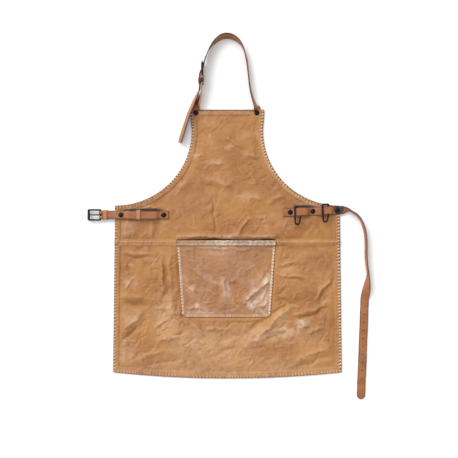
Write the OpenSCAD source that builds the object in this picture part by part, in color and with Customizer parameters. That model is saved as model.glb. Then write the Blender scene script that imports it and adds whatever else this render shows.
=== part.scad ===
// Butcher apron in waxed canvas with leather straps, lying face up on a flat surface.
// Millimetres. +X is to the right, +Y runs up to the neck strap, +Z is up from the surface.
// The origin lies on the surface, on the apron's middle line, halfway up the whole outline.

/* [Apron body] */
// Width of the bib along its top edge
bib_top_w = 222; // [210:1:226]
// Width of the bib where the armholes begin
bib_waist_w = 212; // [200:1:216]
// Width across the hips, at the foot of the armholes
hip_w = 672; // [664:1:676]
// Width along the bottom hem
hem_w = 684; // [678:1:690]
// Height of the bib's top edge above the origin
bib_top_y = 323; // [321:1:325]
// Height at which the armhole curves begin
armhole_top_y = 262; // [256:1:268]
// Height at which the armhole curves end, at the hips
armhole_foot_y = 36; // [32:1:38]
// Depth of the bottom corners below the origin
corner_y = -463; // [-470:1:-455]
// How far the bottom hem bows down below its corners
hem_bow = 18; // [10:1:24]
// Thickness of the waxed canvas
canvas_t = 1.2; // [0.8:0.1:1.2]
// Width of the turned hems
hem_band = 15; // [12:1:15]
// Thickness of a turned hem under the canvas
hem_t = 4; // [4:0.1:5]

/* [Waist seam and pocket] */
// Height of the waist seam's upper edge
seam_y = -69; // [-72:1:-66]
// Width of the lap where the bib is sewn over the skirt
seam_lap = 16; // [12:1:18]
// Width of the pocket at its mouth
pocket_top_w = 288; // [270:1:300]
// Width of the pocket at its bottom
pocket_foot_w = 257; // [240:1:270]
// Depth of the pocket
pocket_depth = 229; // [200:1:240]
// Clear height inside the pocket
pocket_gape = 6.4; // [6.4:0.1:9]
// Width of the hem along the pocket's mouth
pocket_hem_w = 14; // [10:1:16]

/* [Leather straps] */
// Width of every strap
strap_w = 24.5; // [23:0.5:24.5]
// Thickness of every strap
strap_t = 3; // [2.8:0.1:3]
// Height of the loops that the waist straps form over the canvas
loop_h = 8; // [7.5:0.5:10]
// Number of adjusting holes in the free end of the waist strap
hole_count = 10; // [4:1:10]
// Distance between the adjusting holes
hole_pitch = 24; // [20:1:24]
// Radius of an adjusting hole
hole_r = 2.2; // [1.8:0.1:2.4]

/* [Hardware] */
// Length of a buckle frame, from its end bar to its pivot bar
frame_l = 41; // [38:1:44]
// Width of a buckle frame
frame_w = 35; // [34:0.5:36]
// Thickness of a buckle frame
frame_t = 4; // [3.6:0.1:4]
// Radius of a buckle's pivot bar
bar_r = 2; // [2:0.05:2.1]
// Radius of a rivet's cap
cap_r = 7.8; // [7:0.1:8]
// Height of a rivet's domed cap
cap_h = 3; // [2:0.1:3]
// Radius of a hook's wire
wire_r = 2; // [1.6:0.1:2]
// Inner radius of a hook's bowl
bowl_r = 4.5; // [4:0.1:5]

/* [Hidden] */

canvas = [0.69, 0.49, 0.31];
hem_canvas = [0.66, 0.46, 0.29];
worn_canvas = [0.80, 0.66, 0.52];
thread = [0.86, 0.74, 0.58];
leather = [0.62, 0.35, 0.22];
black_metal = [0.10, 0.10, 0.11];

// The canvas lies on its hems; the straps lie on the canvas
canvas_z = hem_t;
canvas_top = canvas_z + canvas_t;
strap_top = canvas_top + strap_t;
armhole_rx = (hip_w - bib_waist_w) / 2;
armhole_ry = armhole_top_y - armhole_foot_y;
curve_steps = 24;

// Rivets, with the height of the leather's upper face under each cap
post_r = 1.9;
post_clear = 0.1;
back_r = 5;
back_t = 1.5;
neck_rivets = [[-94, 313.5], [88, 313.5]];
left_y = 8;
left_rivets = [[-317, left_y], [-190, left_y]];
right_start = [188, 16];
right_tilt = 2.45;
right_rivet_x = [0, 67, 140];

// Left waist strap, from its right end to the buckle's pivot bar
left_end_x = -175;
left_bar_x = -378;
left_bar_z = canvas_top + strap_t;
left_flat = [-293, -211];
left_return_x = -306;
fold_x = -371;
fit = 0.08;
gap = 0.3;
leather_fit = 0.1;

// Right waist strap, along its own length from its first rivet
right_end = -22;
right_flat_end = 151;
ramp = 10;
right_bulges = [[9, 58], [76, 131]];

// Neck strap: the loop folds about the line just above the bib's top edge
neck_fold_y = 330;
neck_foot_y = 298;
neck_foot_z = canvas_z - strap_t;
neck_bar = [-74, 421];
neck_mid_z = frame_w / 2;
neck_lift = neck_mid_z - strap_w / 2;
fold_gap = 0.6;
spline_steps = 4;

// Each route point is x, y, height of the strap's lower edge, and how far it has turned on edge
neck_route = [
    [88, neck_fold_y + fold_gap, neck_foot_z, 0],
    [88, 333, neck_foot_z, 0],
    [88, 337, 0.5, 25],
    [85, 345, 0, 65],
    [78, 356, 0, 90],
    [68, 395, 0, 90],
    [60, 452, 0, 90],
    [53, 486, 0, 90],
    [36, 523, 0, 90],
    [8, 541, 0, 90],
    [-20, 539, 0.5, 90],
    [-45, 518, 1.5, 90],
    [-60, 486, 3.5, 90],
    [-69, 465, neck_lift, 90],
    [-69.8, 455, neck_lift, 90],
    [-71.6, 448, neck_lift, 90],
    [-76, 437, neck_lift, 90],
    [-81.6, 423, neck_lift, 90],
    [-81.8, 404, neck_lift, 90],
    [-81.9, 386, neck_lift, 90],
    [-86, 373, 3.5, 90],
    [-98, 362, 1, 90],
    [-113, 353, 0, 75],
    [-122, 344, 0, 40],
    [-125, 337, 0.5, 12],
    [-125, 333, neck_foot_z, 0],
    [-125, neck_fold_y + fold_gap, neck_foot_z, 0]
];
neck_tip_route = [
    [-125, neck_fold_y, neck_foot_z, 0],
    [-125, 320, neck_foot_z, 0],
    [-125, 310, neck_foot_z, 0],
    [-129, 270, neck_foot_z, 0],
    [-141, 224, neck_foot_z, 0]
];
buckle_strap_route = [
    [-74, 417, neck_lift, 90],
    [-74, 402, neck_lift, 90],
    [-74, 386, neck_lift, 90],
    [-76, 371, 3.5, 90],
    [-81, 358, 0.5, 85],
    [-89, 347, 0, 60],
    [-94, 338, 0.5, 25],
    [-94, 333, neck_foot_z, 0],
    [-94, neck_fold_y + fold_gap, neck_foot_z, 0]
];

// Free end of the waist strap: it turns on edge past the canvas and lies flat lower down
waist_route = [
    [336, 22.3, canvas_top, 0],
    [345, 22.8, 4, 20],
    [356, 22.5, 1, 60],
    [368, 19.5, 0, 90],
    [378, 14, 0, 90],
    [385.1, 8.9, 0, 90]
];
tail_route = [
    [387, 6.7, 0, 90],
    [397, -6, 0, 90],
    [405, -24, 0, 90],
    [411, -48, 0, 90],
    [413, -78, 0, 90],
    [413, -112, 0, 90],
    [415, -140, 0, 90],
    [419, -170, 0, 90],
    [417, -200, 0, 60],
    [413.5, -228, 0, 20],
    [411.5, -244, 0, 0],
    [411.2, -252, 0, 0]
];
tail_top = [411.2, -251];
tail_tilt = 2.2;
tail_l = 293;
last_hole = 62;

// Hooks: where the stem stands along the strap, and how far behind it the back leg stands
hook_stem_x = [12, 95];
hook_drop = [4, 0];
hook_arm = [10, 20];
hook_z = canvas_top + loop_h + strap_t + gap + wire_r;
hook_back_z = canvas_top + loop_h / 2;
hook_top_y = 19;
hook_back_y = -8;
bowl_y = -26.5;
bowl_mid_r = bowl_r + wire_r;
hook_tip = [4, 17.5];

function catmull(a, b, c, d, t) =
    (2 * b + (c - a) * t + (2 * a - 5 * b + 4 * c - d) * t * t
        + (3 * b - a - 3 * c + d) * t * t * t) / 2;

function smoothed(p, n) = let (last = len(p) - 1) [
    for (i = [0 : last - 1]) for (k = [0 : n - 1])
        catmull(p[max(i - 1, 0)], p[i], p[i + 1], p[min(i + 2, last)], k / n),
    p[last]
];

function heading(p, i) =
    let (
        a = p[max(i - 1, 0)],
        b = p[min(i + 1, len(p) - 1)],
        d = [b.x - a.x, b.y - a.y]
    )
    d / norm(d);

// A corner of the strap's section: u across its width, v through its thickness
function section_corner(p, i, u, v) =
    let (
        d = heading(p, i),
        s = [-d.y, d.x, 0],
        up = [0, 0, 1],
        turn = p[i][3],
        half_height = (strap_w * abs(sin(turn)) + strap_t * abs(cos(turn))) / 2
    )
    [p[i].x, p[i].y, max(p[i].z, 0) + half_height]
        + u * (strap_w / 2) * (cos(turn) * s + sin(turn) * up)
        + v * (strap_t / 2) * (cos(turn) * up - sin(turn) * s);

module swept_strap(route) {
    path = smoothed(route, spline_steps);
    n = len(path);
    corners = [[-1, -1], [1, -1], [1, 1], [-1, 1]];
    points = [for (i = [0 : n - 1]) for (c = corners) section_corner(path, i, c.x, c.y)];
    faces = [
        [0, 1, 2, 3],
        [for (k = [3 : -1 : 0]) 4 * (n - 1) + k],
        for (i = [0 : n - 2]) for (k = [0 : 3])
            [4 * i + k, 4 * i + 4 + k, 4 * i + 4 + (k + 1) % 4],
        for (i = [0 : n - 2]) for (k = [0 : 3])
            [4 * i + k, 4 * i + 4 + (k + 1) % 4, 4 * i + (k + 1) % 4]
    ];
    polyhedron(points, faces);
}

// The apron's right-hand edge, d inside it, from the top down to the hip
function armhole_edge(d) = [
    [bib_top_w / 2 - d, bib_top_y],
    for (k = [0 : curve_steps])
        let (a = 90 * k / curve_steps)
        [
            hip_w / 2 - (armhole_rx + d) * cos(a),
            armhole_top_y - (armhole_ry + d) * sin(a)
        ]
];

// Half the width at a height below the hips
function side_x(y) =
    (hip_w + (hem_w - hip_w) * (armhole_foot_y - y) / (armhole_foot_y - corner_y)) / 2;

// The bottom edge, d inside it, from x = a to x = b
function bottom_edge(a, b, d) = [
    for (k = [0 : curve_steps])
        let (x = a + (b - a) * k / curve_steps, s = 2 * x / hem_w)
        [x, corner_y - hem_bow * (1 - s * s) + d]
];

function mirrored(p) = [for (i = [len(p) - 1 : -1 : 0]) [-p[i].x, p[i].y]];

function reversed(p) = [for (i = [len(p) - 1 : -1 : 0]) p[i]];

module plate(points, z, t) {
    translate([0, 0, z])
        linear_extrude(t)
            polygon(points);
}

module left_or_right(side) {
    mirror([side < 0 ? 1 : 0, 0, 0])
        children();
}

// Places on the right waist strap are measured along it from its first rivet
module on_right_strap(x, y = 0) {
    translate([right_start.x, right_start.y, 0])
        rotate([0, 0, right_tilt])
            translate([x, y, 0])
                children();
}

module rivet_bores(places, r = post_r + post_clear) {
    for (p = places)
        translate([p.x, p.y, -1])
            cylinder(h = 30, r = r, $fn = 32);
}

module right_rivet_bores(r = post_r + post_clear) {
    for (x = right_rivet_x)
        on_right_strap(x)
            translate([0, 0, -1])
                cylinder(h = 30, r = r, $fn = 32);
}

module all_bores(r = post_r + post_clear) {
    rivet_bores(neck_rivets, r);
    rivet_bores(left_rivets, r);
    right_rivet_bores(r);
}

module bib_panel() {
    edge = armhole_edge(0);
    color(canvas)
        difference() {
            union() {
                plate(
                    concat(
                        edge, [[side_x(seam_y), seam_y]],
                        [[-side_x(seam_y), seam_y]], mirrored(edge)
                    ),
                    canvas_z, canvas_t
                );
                plate(
                    [
                        [side_x(seam_y), seam_y + 2], [side_x(seam_y - seam_lap), seam_y - seam_lap],
                        [-side_x(seam_y - seam_lap), seam_y - seam_lap], [-side_x(seam_y), seam_y + 2]
                    ],
                    canvas_top, canvas_t
                );
            }
            all_bores();
        }
}

module skirt_panel() {
    color(canvas)
        plate(
            concat(
                [[-side_x(seam_y), seam_y], [side_x(seam_y), seam_y]],
                reversed(bottom_edge(-hem_w / 2, hem_w / 2, 0))
            ),
            canvas_z, canvas_t
        );
}

module top_hem() {
    half = bib_top_w / 2 - hem_band;
    color(hem_canvas)
        difference() {
            translate([-half, bib_top_y - hem_band, 0])
                cube([2 * half, hem_band, hem_t]);
            for (p = neck_rivets)
                translate([p.x - strap_w / 2 - 1, bib_top_y - hem_band - 1, -1])
                    cube([strap_w + 2, hem_band + 2, hem_t + 2]);
        }
}

module armhole_facing(side) {
    color(hem_canvas)
        difference() {
            left_or_right(side)
                plate(concat(armhole_edge(0), reversed(armhole_edge(hem_band))), 0, hem_t);
            all_bores(back_r + gap);
            for (p = neck_rivets)
                translate([p.x - strap_w / 2 - 1, neck_foot_y - 1, -1])
                    cube([strap_w + 2, bib_top_y - neck_foot_y + 2, hem_t + 2]);
        }
}

module side_hem(side) {
    top = armhole_foot_y - hem_band;
    foot = corner_y + hem_band;
    color(hem_canvas)
        difference() {
            left_or_right(side)
                plate(
                    [
                        [side_x(top), top], [side_x(foot), foot],
                        [side_x(foot) - hem_band, foot], [side_x(top) - hem_band, top]
                    ],
                    0, hem_t
                );
            all_bores(back_r + gap);
        }
}

module bottom_hem() {
    foot = corner_y + hem_band;
    color(hem_canvas)
        difference() {
            plate(
                concat(
                    [[-side_x(foot), foot], [side_x(foot), foot]],
                    reversed(bottom_edge(-hem_w / 2, hem_w / 2, 0))
                ),
                0, hem_t
            );
            plate(
                concat(
                    [[-hem_w / 2 + hem_band, foot + 1], [hem_w / 2 - hem_band, foot + 1]],
                    reversed(bottom_edge(-hem_w / 2 + hem_band, hem_w / 2 - hem_band, hem_band))
                ),
                -1, hem_t + 2
            );
        }
}

// Outline of the pocket, drawn in by d at its sides and bottom
function pocket_outline(d, top) =
    let (
        foot = seam_y - pocket_depth + d,
        slope = (pocket_top_w - pocket_foot_w) / 2 / pocket_depth,
        half_top = pocket_top_w / 2 - d + slope * (top - seam_y),
        half_foot = pocket_foot_w / 2 - d + slope * d,
        c = 9
    )
    [
        [-half_top, top], [half_top, top],
        [half_foot + slope * c, foot + c], [half_foot - c, foot],
        [-half_foot + c, foot], [-half_foot - slope * c, foot + c]
    ];

module pocket_front() {
    wall = 3;
    color(canvas)
        translate([-3, 0, 0])
            difference() {
                plate(pocket_outline(0, seam_y), canvas_top, pocket_gape + canvas_t);
                plate(pocket_outline(wall, seam_y + 5), canvas_top - 1, pocket_gape + 1);
                translate([-pocket_top_w, seam_y - seam_lap - 0.2, canvas_top - 1])
                    cube([2 * pocket_top_w, seam_lap + 5, 1 + canvas_t]);
            }
}

module pocket_hem() {
    half = pocket_top_w / 2;
    color(worn_canvas)
        translate([-3, 0, canvas_top + pocket_gape + canvas_t])
            linear_extrude(1)
                polygon([
                    [-half, seam_y], [half, seam_y],
                    [half - 1, seam_y - pocket_hem_w], [-half + 1, seam_y - pocket_hem_w]
                ]);
}

// A row of stitches laid on a face, as one raised line
module stitch_line(points, z) {
    stitch_w = 0.9;
    stitch_h = 0.4;
    n = len(points);
    normals = [
        for (i = [0 : n - 1])
            let (
                a = points[max(i - 1, 0)],
                b = points[min(i + 1, n - 1)],
                d = (b - a) / norm(b - a)
            )
            [-d.y, d.x] * stitch_w / 2
    ];
    plate(
        concat(
            [for (i = [0 : n - 1]) points[i] + normals[i]],
            [for (i = [n - 1 : -1 : 0]) points[i] - normals[i]]
        ),
        z, stitch_h
    );
}

module top_hem_stitching() {
    half = bib_top_w / 2 - hem_band;
    y = bib_top_y - hem_band + 2;
    color(thread)
        difference() {
            stitch_line([[-half, y], [half, y]], canvas_top);
            rivet_bores(neck_rivets, cap_r + gap);
        }
}

module armhole_stitching() {
    color(thread)
        for (side = [-1, 1])
            left_or_right(side)
                difference() {
                    stitch_line(armhole_edge(hem_band - 2), canvas_top);
                    translate([0, bib_top_y - hem_band - 4, 0])
                        cube([bib_top_w, 2 * hem_band, 20]);
                    translate([right_start.x - 40, -20, 0])
                        cube([200, 47, 20]);
                }
}

module side_hem_stitching() {
    inset = hem_band - 2;
    color(thread)
        for (side = [-1, 1])
            left_or_right(side)
                for (run = [[-10, seam_y + 4], [seam_y - seam_lap - 2, corner_y + hem_band]])
                    stitch_line(
                        [[side_x(run[0]) - inset, run[0]], [side_x(run[1]) - inset, run[1]]],
                        canvas_top
                    );
}

module bottom_hem_stitching() {
    color(thread)
        stitch_line(
            bottom_edge(-hem_w / 2 + hem_band, hem_w / 2 - hem_band, hem_band - 2), canvas_top
        );
}

module waist_seam_stitching() {
    near = pocket_top_w / 2 + 5;
    far = side_x(seam_y) - 2;
    color(thread)
        for (side = [-1, 1])
            for (y = [seam_y - 2, seam_y - seam_lap + 2])
                stitch_line([[side * near, y], [side * far, y]], canvas_top + canvas_t);
}

module pocket_stitching() {
    inset = 4;
    edge = pocket_outline(inset, seam_y - pocket_hem_w - 1);
    row = concat([edge[1]], [for (i = [2 : 5]) edge[i]], [edge[0]]);
    color(thread)
        translate([-3, 0, 0])
            stitch_line(row, canvas_top + pocket_gape + canvas_t);
}

// Side view of a strap that rises over a bulge between two rivets
function bulged_side(runs, from, to, base, h) = concat(
    [[from, base]],
    [
        for (r = runs)
            each [[r[0], base], [r[0] + ramp, base + h], [r[1] - ramp, base + h], [r[1], base]]
    ],
    [[to, base]]
);

module strap_from_side(low, w) {
    high = [for (p = reversed(low)) p + [0, strap_t]];
    rotate([90, 0, 0])
        linear_extrude(w, center = true)
            polygon(concat(low, high));
}

module left_waist_strap() {
    slot_w = 5.4;
    color(leather)
        translate([0, left_y, 0])
            difference() {
                union() {
                    strap_from_side(
                        [
                            [fold_x, left_bar_z], [left_flat[0] - ramp, left_bar_z],
                            [left_flat[0], canvas_top + loop_h], [left_flat[1], canvas_top + loop_h],
                            [left_flat[1] + ramp + 2, canvas_top], [left_end_x, canvas_top]
                        ],
                        strap_w
                    );
                    strap_from_side(
                        [[fold_x, canvas_top], [left_return_x, canvas_top]], strap_w
                    );
                    // The fold around the pivot bar
                    translate([left_bar_x, 0, left_bar_z])
                        rotate([90, 0, 0])
                            linear_extrude(strap_w, center = true)
                                union() {
                                    circle(r = strap_t + bar_r + leather_fit, $fn = 48);
                                    polygon([
                                        [0, strap_t + bar_r], [fold_x - left_bar_x, strap_t],
                                        [fold_x - left_bar_x, -strap_t], [0, -strap_t - bar_r]
                                    ]);
                                }
                }
                translate([left_bar_x, 0, left_bar_z])
                    rotate([90, 0, 0])
                        cylinder(h = strap_w + 2, r = bar_r + leather_fit, center = true, $fn = 48);
                // Slot that lets the prong turn on the bar
                translate([left_bar_x - 6, -slot_w / 2, 0])
                    cube([12.5, slot_w, 20]);
                for (p = left_rivets)
                    translate([p.x, 0, 0])
                        cylinder(h = 20, r = post_r + post_clear, $fn = 32);
            }
}

// A buckle frame lying flat: pivot bar on the Y axis, end bar towards -X
module buckle_frame() {
    end_bar = 6.5;
    side_bar = 4.6;
    corner = 3;
    bar_half = frame_w / 2 - side_bar;
    length = frame_l - bar_r;
    difference() {
        translate([-length, -frame_w / 2, -frame_t / 2])
            union() {
                translate([corner, 0, 0])
                    cube([length + bar_r - corner, frame_w, frame_t]);
                translate([0, corner, 0])
                    cube([length, frame_w - 2 * corner, frame_t]);
                for (y = [corner, frame_w - corner])
                    translate([corner, y, 0])
                        cylinder(h = frame_t, r = corner, $fn = 32);
            }
        translate([-length + end_bar, -bar_half, -frame_t])
            cube([length, 2 * bar_half, 2 * frame_t]);
    }
    rotate([90, 0, 0])
        cylinder(h = 2 * bar_half + 2, r = bar_r, center = true, $fn = 48);
}

// A prong lying on its frame: it turns on the pivot bar and rests on the end bar
module buckle_prong() {
    prong_w = 4;
    prong_t = 1.7;
    ring_r = bar_r + fit + prong_t;
    reach = frame_l - bar_r;
    rest_z = frame_t / 2 + 0.05;
    difference() {
        union() {
            rotate([90, 0, 0])
                cylinder(h = prong_w, r = ring_r, center = true, $fn = 48);
            rotate([90, 0, 0])
                linear_extrude(prong_w, center = true)
                    polygon([
                        [0, rest_z], [0, ring_r], [-reach + 1, rest_z + prong_t],
                        [-reach + 1, rest_z]
                    ]);
        }
        rotate([90, 0, 0])
            cylinder(h = 10, r = bar_r + fit, center = true, $fn = 48);
    }
}

module waist_buckle_frame() {
    color(black_metal)
        translate([left_bar_x, left_y, left_bar_z])
            buckle_frame();
}

module waist_buckle_prong() {
    color(black_metal)
        translate([left_bar_x, left_y, left_bar_z])
            buckle_prong();
}

// A loop of leather around a strap that runs along X
module keeper(length, inner_h, wall) {
    inner_w = strap_w + 2 * gap;
    rotate([90, 0, 90])
        linear_extrude(length, center = true)
            difference() {
                square([inner_w + 2 * wall, inner_h + 2 * wall], center = true);
                square([inner_w, inner_h], center = true);
            }
}

module buckle_keeper() {
    color(leather)
        translate([-364, left_y, left_bar_z])
            keeper(12, 2 * strap_t + 2 * gap, 1.8);
}

module sliding_keeper() {
    color(leather)
        translate([-264, left_y, canvas_top + loop_h + strap_t / 2])
            keeper(14, strap_t + 2 * gap, 1.6);
}

module rivet_cap(face_z, foot_z) {
    rim_h = 0.8;
    dome_r = (cap_r * cap_r + (cap_h - rim_h) * (cap_h - rim_h)) / (2 * (cap_h - rim_h));
    translate([0, 0, face_z]) {
        cylinder(h = rim_h, r = cap_r, $fn = 64);
        intersection() {
            translate([0, 0, cap_h - dome_r])
                sphere(r = dome_r, $fn = 96);
            translate([0, 0, rim_h])
                cylinder(h = cap_h, r = cap_r, $fn = 64);
        }
    }
    translate([0, 0, foot_z])
        cylinder(h = face_z - foot_z + 0.2, r = post_r, $fn = 32);
}

module rivet_back(top_z) {
    difference() {
        translate([0, 0, top_z - back_t])
            cylinder(h = back_t, r = back_r, $fn = 48);
        translate([0, 0, top_z - back_t / 2])
            cylinder(h = back_t, r = post_r + 0.05, $fn = 32);
    }
}

module neck_rivet_caps() {
    color(black_metal)
        for (p = neck_rivets)
            translate([p.x, p.y, 0])
                rivet_cap(canvas_top, neck_foot_z - 0.3);
}

module neck_rivet_backs() {
    color(black_metal)
        for (p = neck_rivets)
            translate([p.x, p.y, 0])
                difference() {
                    cylinder(h = neck_foot_z, r = back_r, $fn = 48);
                    translate([0, 0, neck_foot_z - 0.3])
                        cylinder(h = 2, r = post_r + 0.05, $fn = 32);
                }
}

module left_waist_rivet_caps() {
    color(black_metal) {
        translate([left_rivets[0].x, left_y, 0])
            rivet_cap(left_bar_z + strap_t, canvas_z - back_t / 2);
        translate([left_rivets[1].x, left_y, 0])
            rivet_cap(strap_top, canvas_z - back_t / 2);
    }
}

module left_waist_rivet_backs() {
    color(black_metal)
        for (p = left_rivets)
            translate([p.x, p.y, 0])
                rivet_back(canvas_z);
}

module right_waist_rivet_caps() {
    color(black_metal)
        for (x = right_rivet_x)
            on_right_strap(x)
                rivet_cap(strap_top, canvas_z - back_t / 2);
}

module right_waist_rivet_backs() {
    color(black_metal)
        for (x = right_rivet_x)
            on_right_strap(x)
                rivet_back(canvas_z);
}

module right_waist_strap() {
    color(leather)
        difference() {
            union() {
                on_right_strap(0)
                    strap_from_side(
                        bulged_side(right_bulges, right_end, right_flat_end, canvas_top, loop_h),
                        strap_w
                    );
                swept_strap(waist_route);
            }
            right_rivet_bores();
        }
}

module waist_strap_tail() {
    color(leather)
        difference() {
            union() {
                swept_strap(tail_route);
                translate([tail_top.x, tail_top.y, 0])
                    rotate([0, 0, -tail_tilt]) {
                        translate([-strap_w / 2, -tail_l + strap_w / 2, 0])
                            cube([strap_w, tail_l - strap_w / 2, strap_t]);
                        translate([0, -tail_l + strap_w / 2, 0])
                            cylinder(h = strap_t, r = strap_w / 2, $fn = 64);
                    }
            }
            translate([tail_top.x, tail_top.y, 0])
                rotate([0, 0, -tail_tilt])
                    for (k = [0 : hole_count - 1])
                        translate([0, -tail_l + last_hole + k * hole_pitch, -1])
                            cylinder(h = strap_t + 2, r = hole_r, $fn = 32);
        }
}

module neck_foot(x) {
    difference() {
        translate([x - strap_w / 2, neck_foot_y, neck_foot_z])
            cube([strap_w, neck_fold_y - neck_foot_y, strap_t]);
        rivet_bores(neck_rivets);
    }
}

module neck_strap() {
    color(leather)
        difference() {
            swept_strap(neck_route);
            // Hole that the prong comes through
            translate([-90, 427, neck_mid_z - 2.6])
                cube([30, 24, 5.2]);
        }
}

module neck_strap_foot() {
    color(leather)
        neck_foot(neck_rivets[1].x);
}

module neck_strap_tip() {
    color(leather)
        swept_strap(neck_tip_route);
}

module neck_buckle_strap() {
    slot_w = 5.4;
    loop_r = strap_t + bar_r + leather_fit;
    color(leather)
        difference() {
            union() {
                swept_strap(buckle_strap_route);
                // The fold around the pivot bar
                translate([neck_bar.x, neck_bar.y, neck_mid_z]) {
                    cylinder(h = strap_w, r = loop_r, center = true, $fn = 48);
                    translate([0, -5, 0])
                        linear_extrude(strap_w, center = true)
                            polygon([[-loop_r, 5], [loop_r, 5], [1.5, -2], [-1.5, -2]]);
                }
            }
            translate([neck_bar.x, neck_bar.y, neck_mid_z])
                cylinder(h = strap_w + 2, r = bar_r + leather_fit, center = true, $fn = 48);
            translate([neck_bar.x - 10, neck_bar.y - 6, neck_mid_z - slot_w / 2])
                cube([20, 20, slot_w]);
        }
}

module neck_buckle_strap_foot() {
    color(leather)
        neck_foot(neck_rivets[0].x);
}

// The neck buckle stands on edge, with its end bar up the strap and its front to the left
module on_neck_bar() {
    translate([neck_bar.x, neck_bar.y, neck_mid_z])
        rotate([90, 0, -90])
            children();
}

module neck_buckle_frame() {
    color(black_metal)
        on_neck_bar()
            buckle_frame();
}

module neck_buckle_prong() {
    color(black_metal)
        on_neck_bar()
            buckle_prong();
}

module neck_keeper() {
    length = 12;
    wall = 1.8;
    inner_w = 11.6;
    inner_h = strap_w + 2 * gap + 0.4;
    color(leather)
        translate([-77.9, 405.5, neck_mid_z])
            rotate([90, 0, 0])
                linear_extrude(length, center = true)
                    difference() {
                        square([inner_w + 2 * wall, inner_h + 2 * wall], center = true);
                        square([inner_w, inner_h], center = true);
                    }
}

module rod(a, b, r) {
    d = b - a;
    l = norm(d);
    translate(a)
        rotate([0, acos(d.z / l), atan2(d.y, d.x)])
            cylinder(h = l, r = r, $fn = 32);
}

// Wire hook: a bowl, a stem in front of the strap, an arm over its edge and a leg behind it
module tool_hook(arm) {
    elbow_r = wire_r * 1.03;
    points = [
        [0, bowl_y, hook_z], [0, hook_top_y - 3, hook_z], [3, hook_top_y, hook_z - 1],
        [arm - 3, hook_top_y, hook_back_z + 1], [arm, hook_top_y - 3, hook_back_z],
        [arm, hook_back_y, hook_back_z]
    ];
    for (i = [0 : len(points) - 2]) {
        rod(points[i], points[i + 1], wire_r);
        translate(points[i + 1])
            sphere(r = elbow_r, $fn = 32);
    }
    translate([bowl_mid_r, bowl_y, hook_z])
        rotate([0, 0, 180])
            rotate_extrude(angle = 180, $fn = 48)
                translate([bowl_mid_r, 0])
                    circle(r = wire_r, $fn = 32);
    tip = [2 * bowl_mid_r + hook_tip.x, bowl_y + hook_tip.y, hook_z];
    rod([2 * bowl_mid_r, bowl_y, hook_z], tip, wire_r);
    translate([2 * bowl_mid_r, bowl_y, hook_z])
        sphere(r = elbow_r, $fn = 32);
    translate(tip)
        sphere(r = elbow_r, $fn = 32);
}

module left_tool_hook() {
    color(black_metal)
        on_right_strap(hook_stem_x[0], -hook_drop[0])
            tool_hook(hook_arm[0]);
}

module right_tool_hook() {
    color(black_metal)
        on_right_strap(hook_stem_x[1], -hook_drop[1])
            tool_hook(hook_arm[1]);
}

bib_panel();
skirt_panel();
top_hem();
armhole_facing(-1);  // left_armhole_facing
armhole_facing(1);  // right_armhole_facing
side_hem(-1);  // left_side_hem
side_hem(1);  // right_side_hem
bottom_hem();
pocket_front();
pocket_hem();
top_hem_stitching();
armhole_stitching();
side_hem_stitching();
bottom_hem_stitching();
waist_seam_stitching();
pocket_stitching();
neck_strap();
neck_strap_foot();
neck_strap_tip();
neck_buckle_strap();
neck_buckle_strap_foot();
neck_buckle_frame();
neck_buckle_prong();
neck_keeper();
neck_rivet_caps();
neck_rivet_backs();
left_waist_strap();
waist_buckle_frame();
waist_buckle_prong();
buckle_keeper();
sliding_keeper();
left_waist_rivet_caps();
left_waist_rivet_backs();
right_waist_strap();
waist_strap_tail();
right_waist_rivet_caps();
right_waist_rivet_backs();
left_tool_hook();
right_tool_hook();
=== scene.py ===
import math

import bmesh
import bpy
import numpy as np
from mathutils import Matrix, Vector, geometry, kdtree


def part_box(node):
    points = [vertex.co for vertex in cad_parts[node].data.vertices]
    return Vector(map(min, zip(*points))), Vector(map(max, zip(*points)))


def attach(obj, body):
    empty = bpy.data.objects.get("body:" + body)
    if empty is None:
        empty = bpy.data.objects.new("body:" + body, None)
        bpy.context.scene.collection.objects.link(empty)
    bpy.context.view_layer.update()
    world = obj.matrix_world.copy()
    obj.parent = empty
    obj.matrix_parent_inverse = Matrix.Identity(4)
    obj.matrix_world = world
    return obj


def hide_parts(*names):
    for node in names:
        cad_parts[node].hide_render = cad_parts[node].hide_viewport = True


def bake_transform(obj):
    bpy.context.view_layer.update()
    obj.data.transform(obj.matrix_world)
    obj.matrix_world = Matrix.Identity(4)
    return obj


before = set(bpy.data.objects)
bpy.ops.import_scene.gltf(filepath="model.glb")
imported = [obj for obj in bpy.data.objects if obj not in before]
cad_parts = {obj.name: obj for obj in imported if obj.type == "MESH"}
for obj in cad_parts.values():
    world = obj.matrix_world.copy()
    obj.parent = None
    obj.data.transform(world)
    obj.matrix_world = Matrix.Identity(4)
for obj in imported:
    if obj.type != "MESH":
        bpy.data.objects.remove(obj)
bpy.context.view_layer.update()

mm = 0.001


# small helpers for colours, shader nodes and meshes

def tint(red, green, blue):
    levels = []
    for level in (red, green, blue):
        level /= 255
        levels.append(level / 12.92 if level <= 0.04045 else ((level + 0.055) / 1.055) ** 2.4)
    return (*levels, 1.0)


def ease(value, low, high):
    t = np.clip((np.asarray(value, float) - low) / (high - low), 0, 1)
    return t * t * (3 - 2 * t)


def setSockets(tree, made, sockets):
    for key, value in sockets.items():
        if isinstance(value, bpy.types.NodeSocket):
            tree.links.new(value, made.inputs[key])
        else:
            made.inputs[key].default_value = value


def addNode(tree, kind, sockets=None, **settings):
    made = tree.nodes.new("ShaderNode" + kind)
    for key, value in settings.items():
        setattr(made, key, value)
    setSockets(tree, made, sockets or {})
    return made


def sums(tree, operation, first, second=0.0):
    return addNode(tree, "Math", {0: first, 1: second}, operation=operation).outputs[0]


def times(tree, first, second):
    return sums(tree, "MULTIPLY", first, second)


def plus(tree, first, second):
    return sums(tree, "ADD", first, second)


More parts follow.
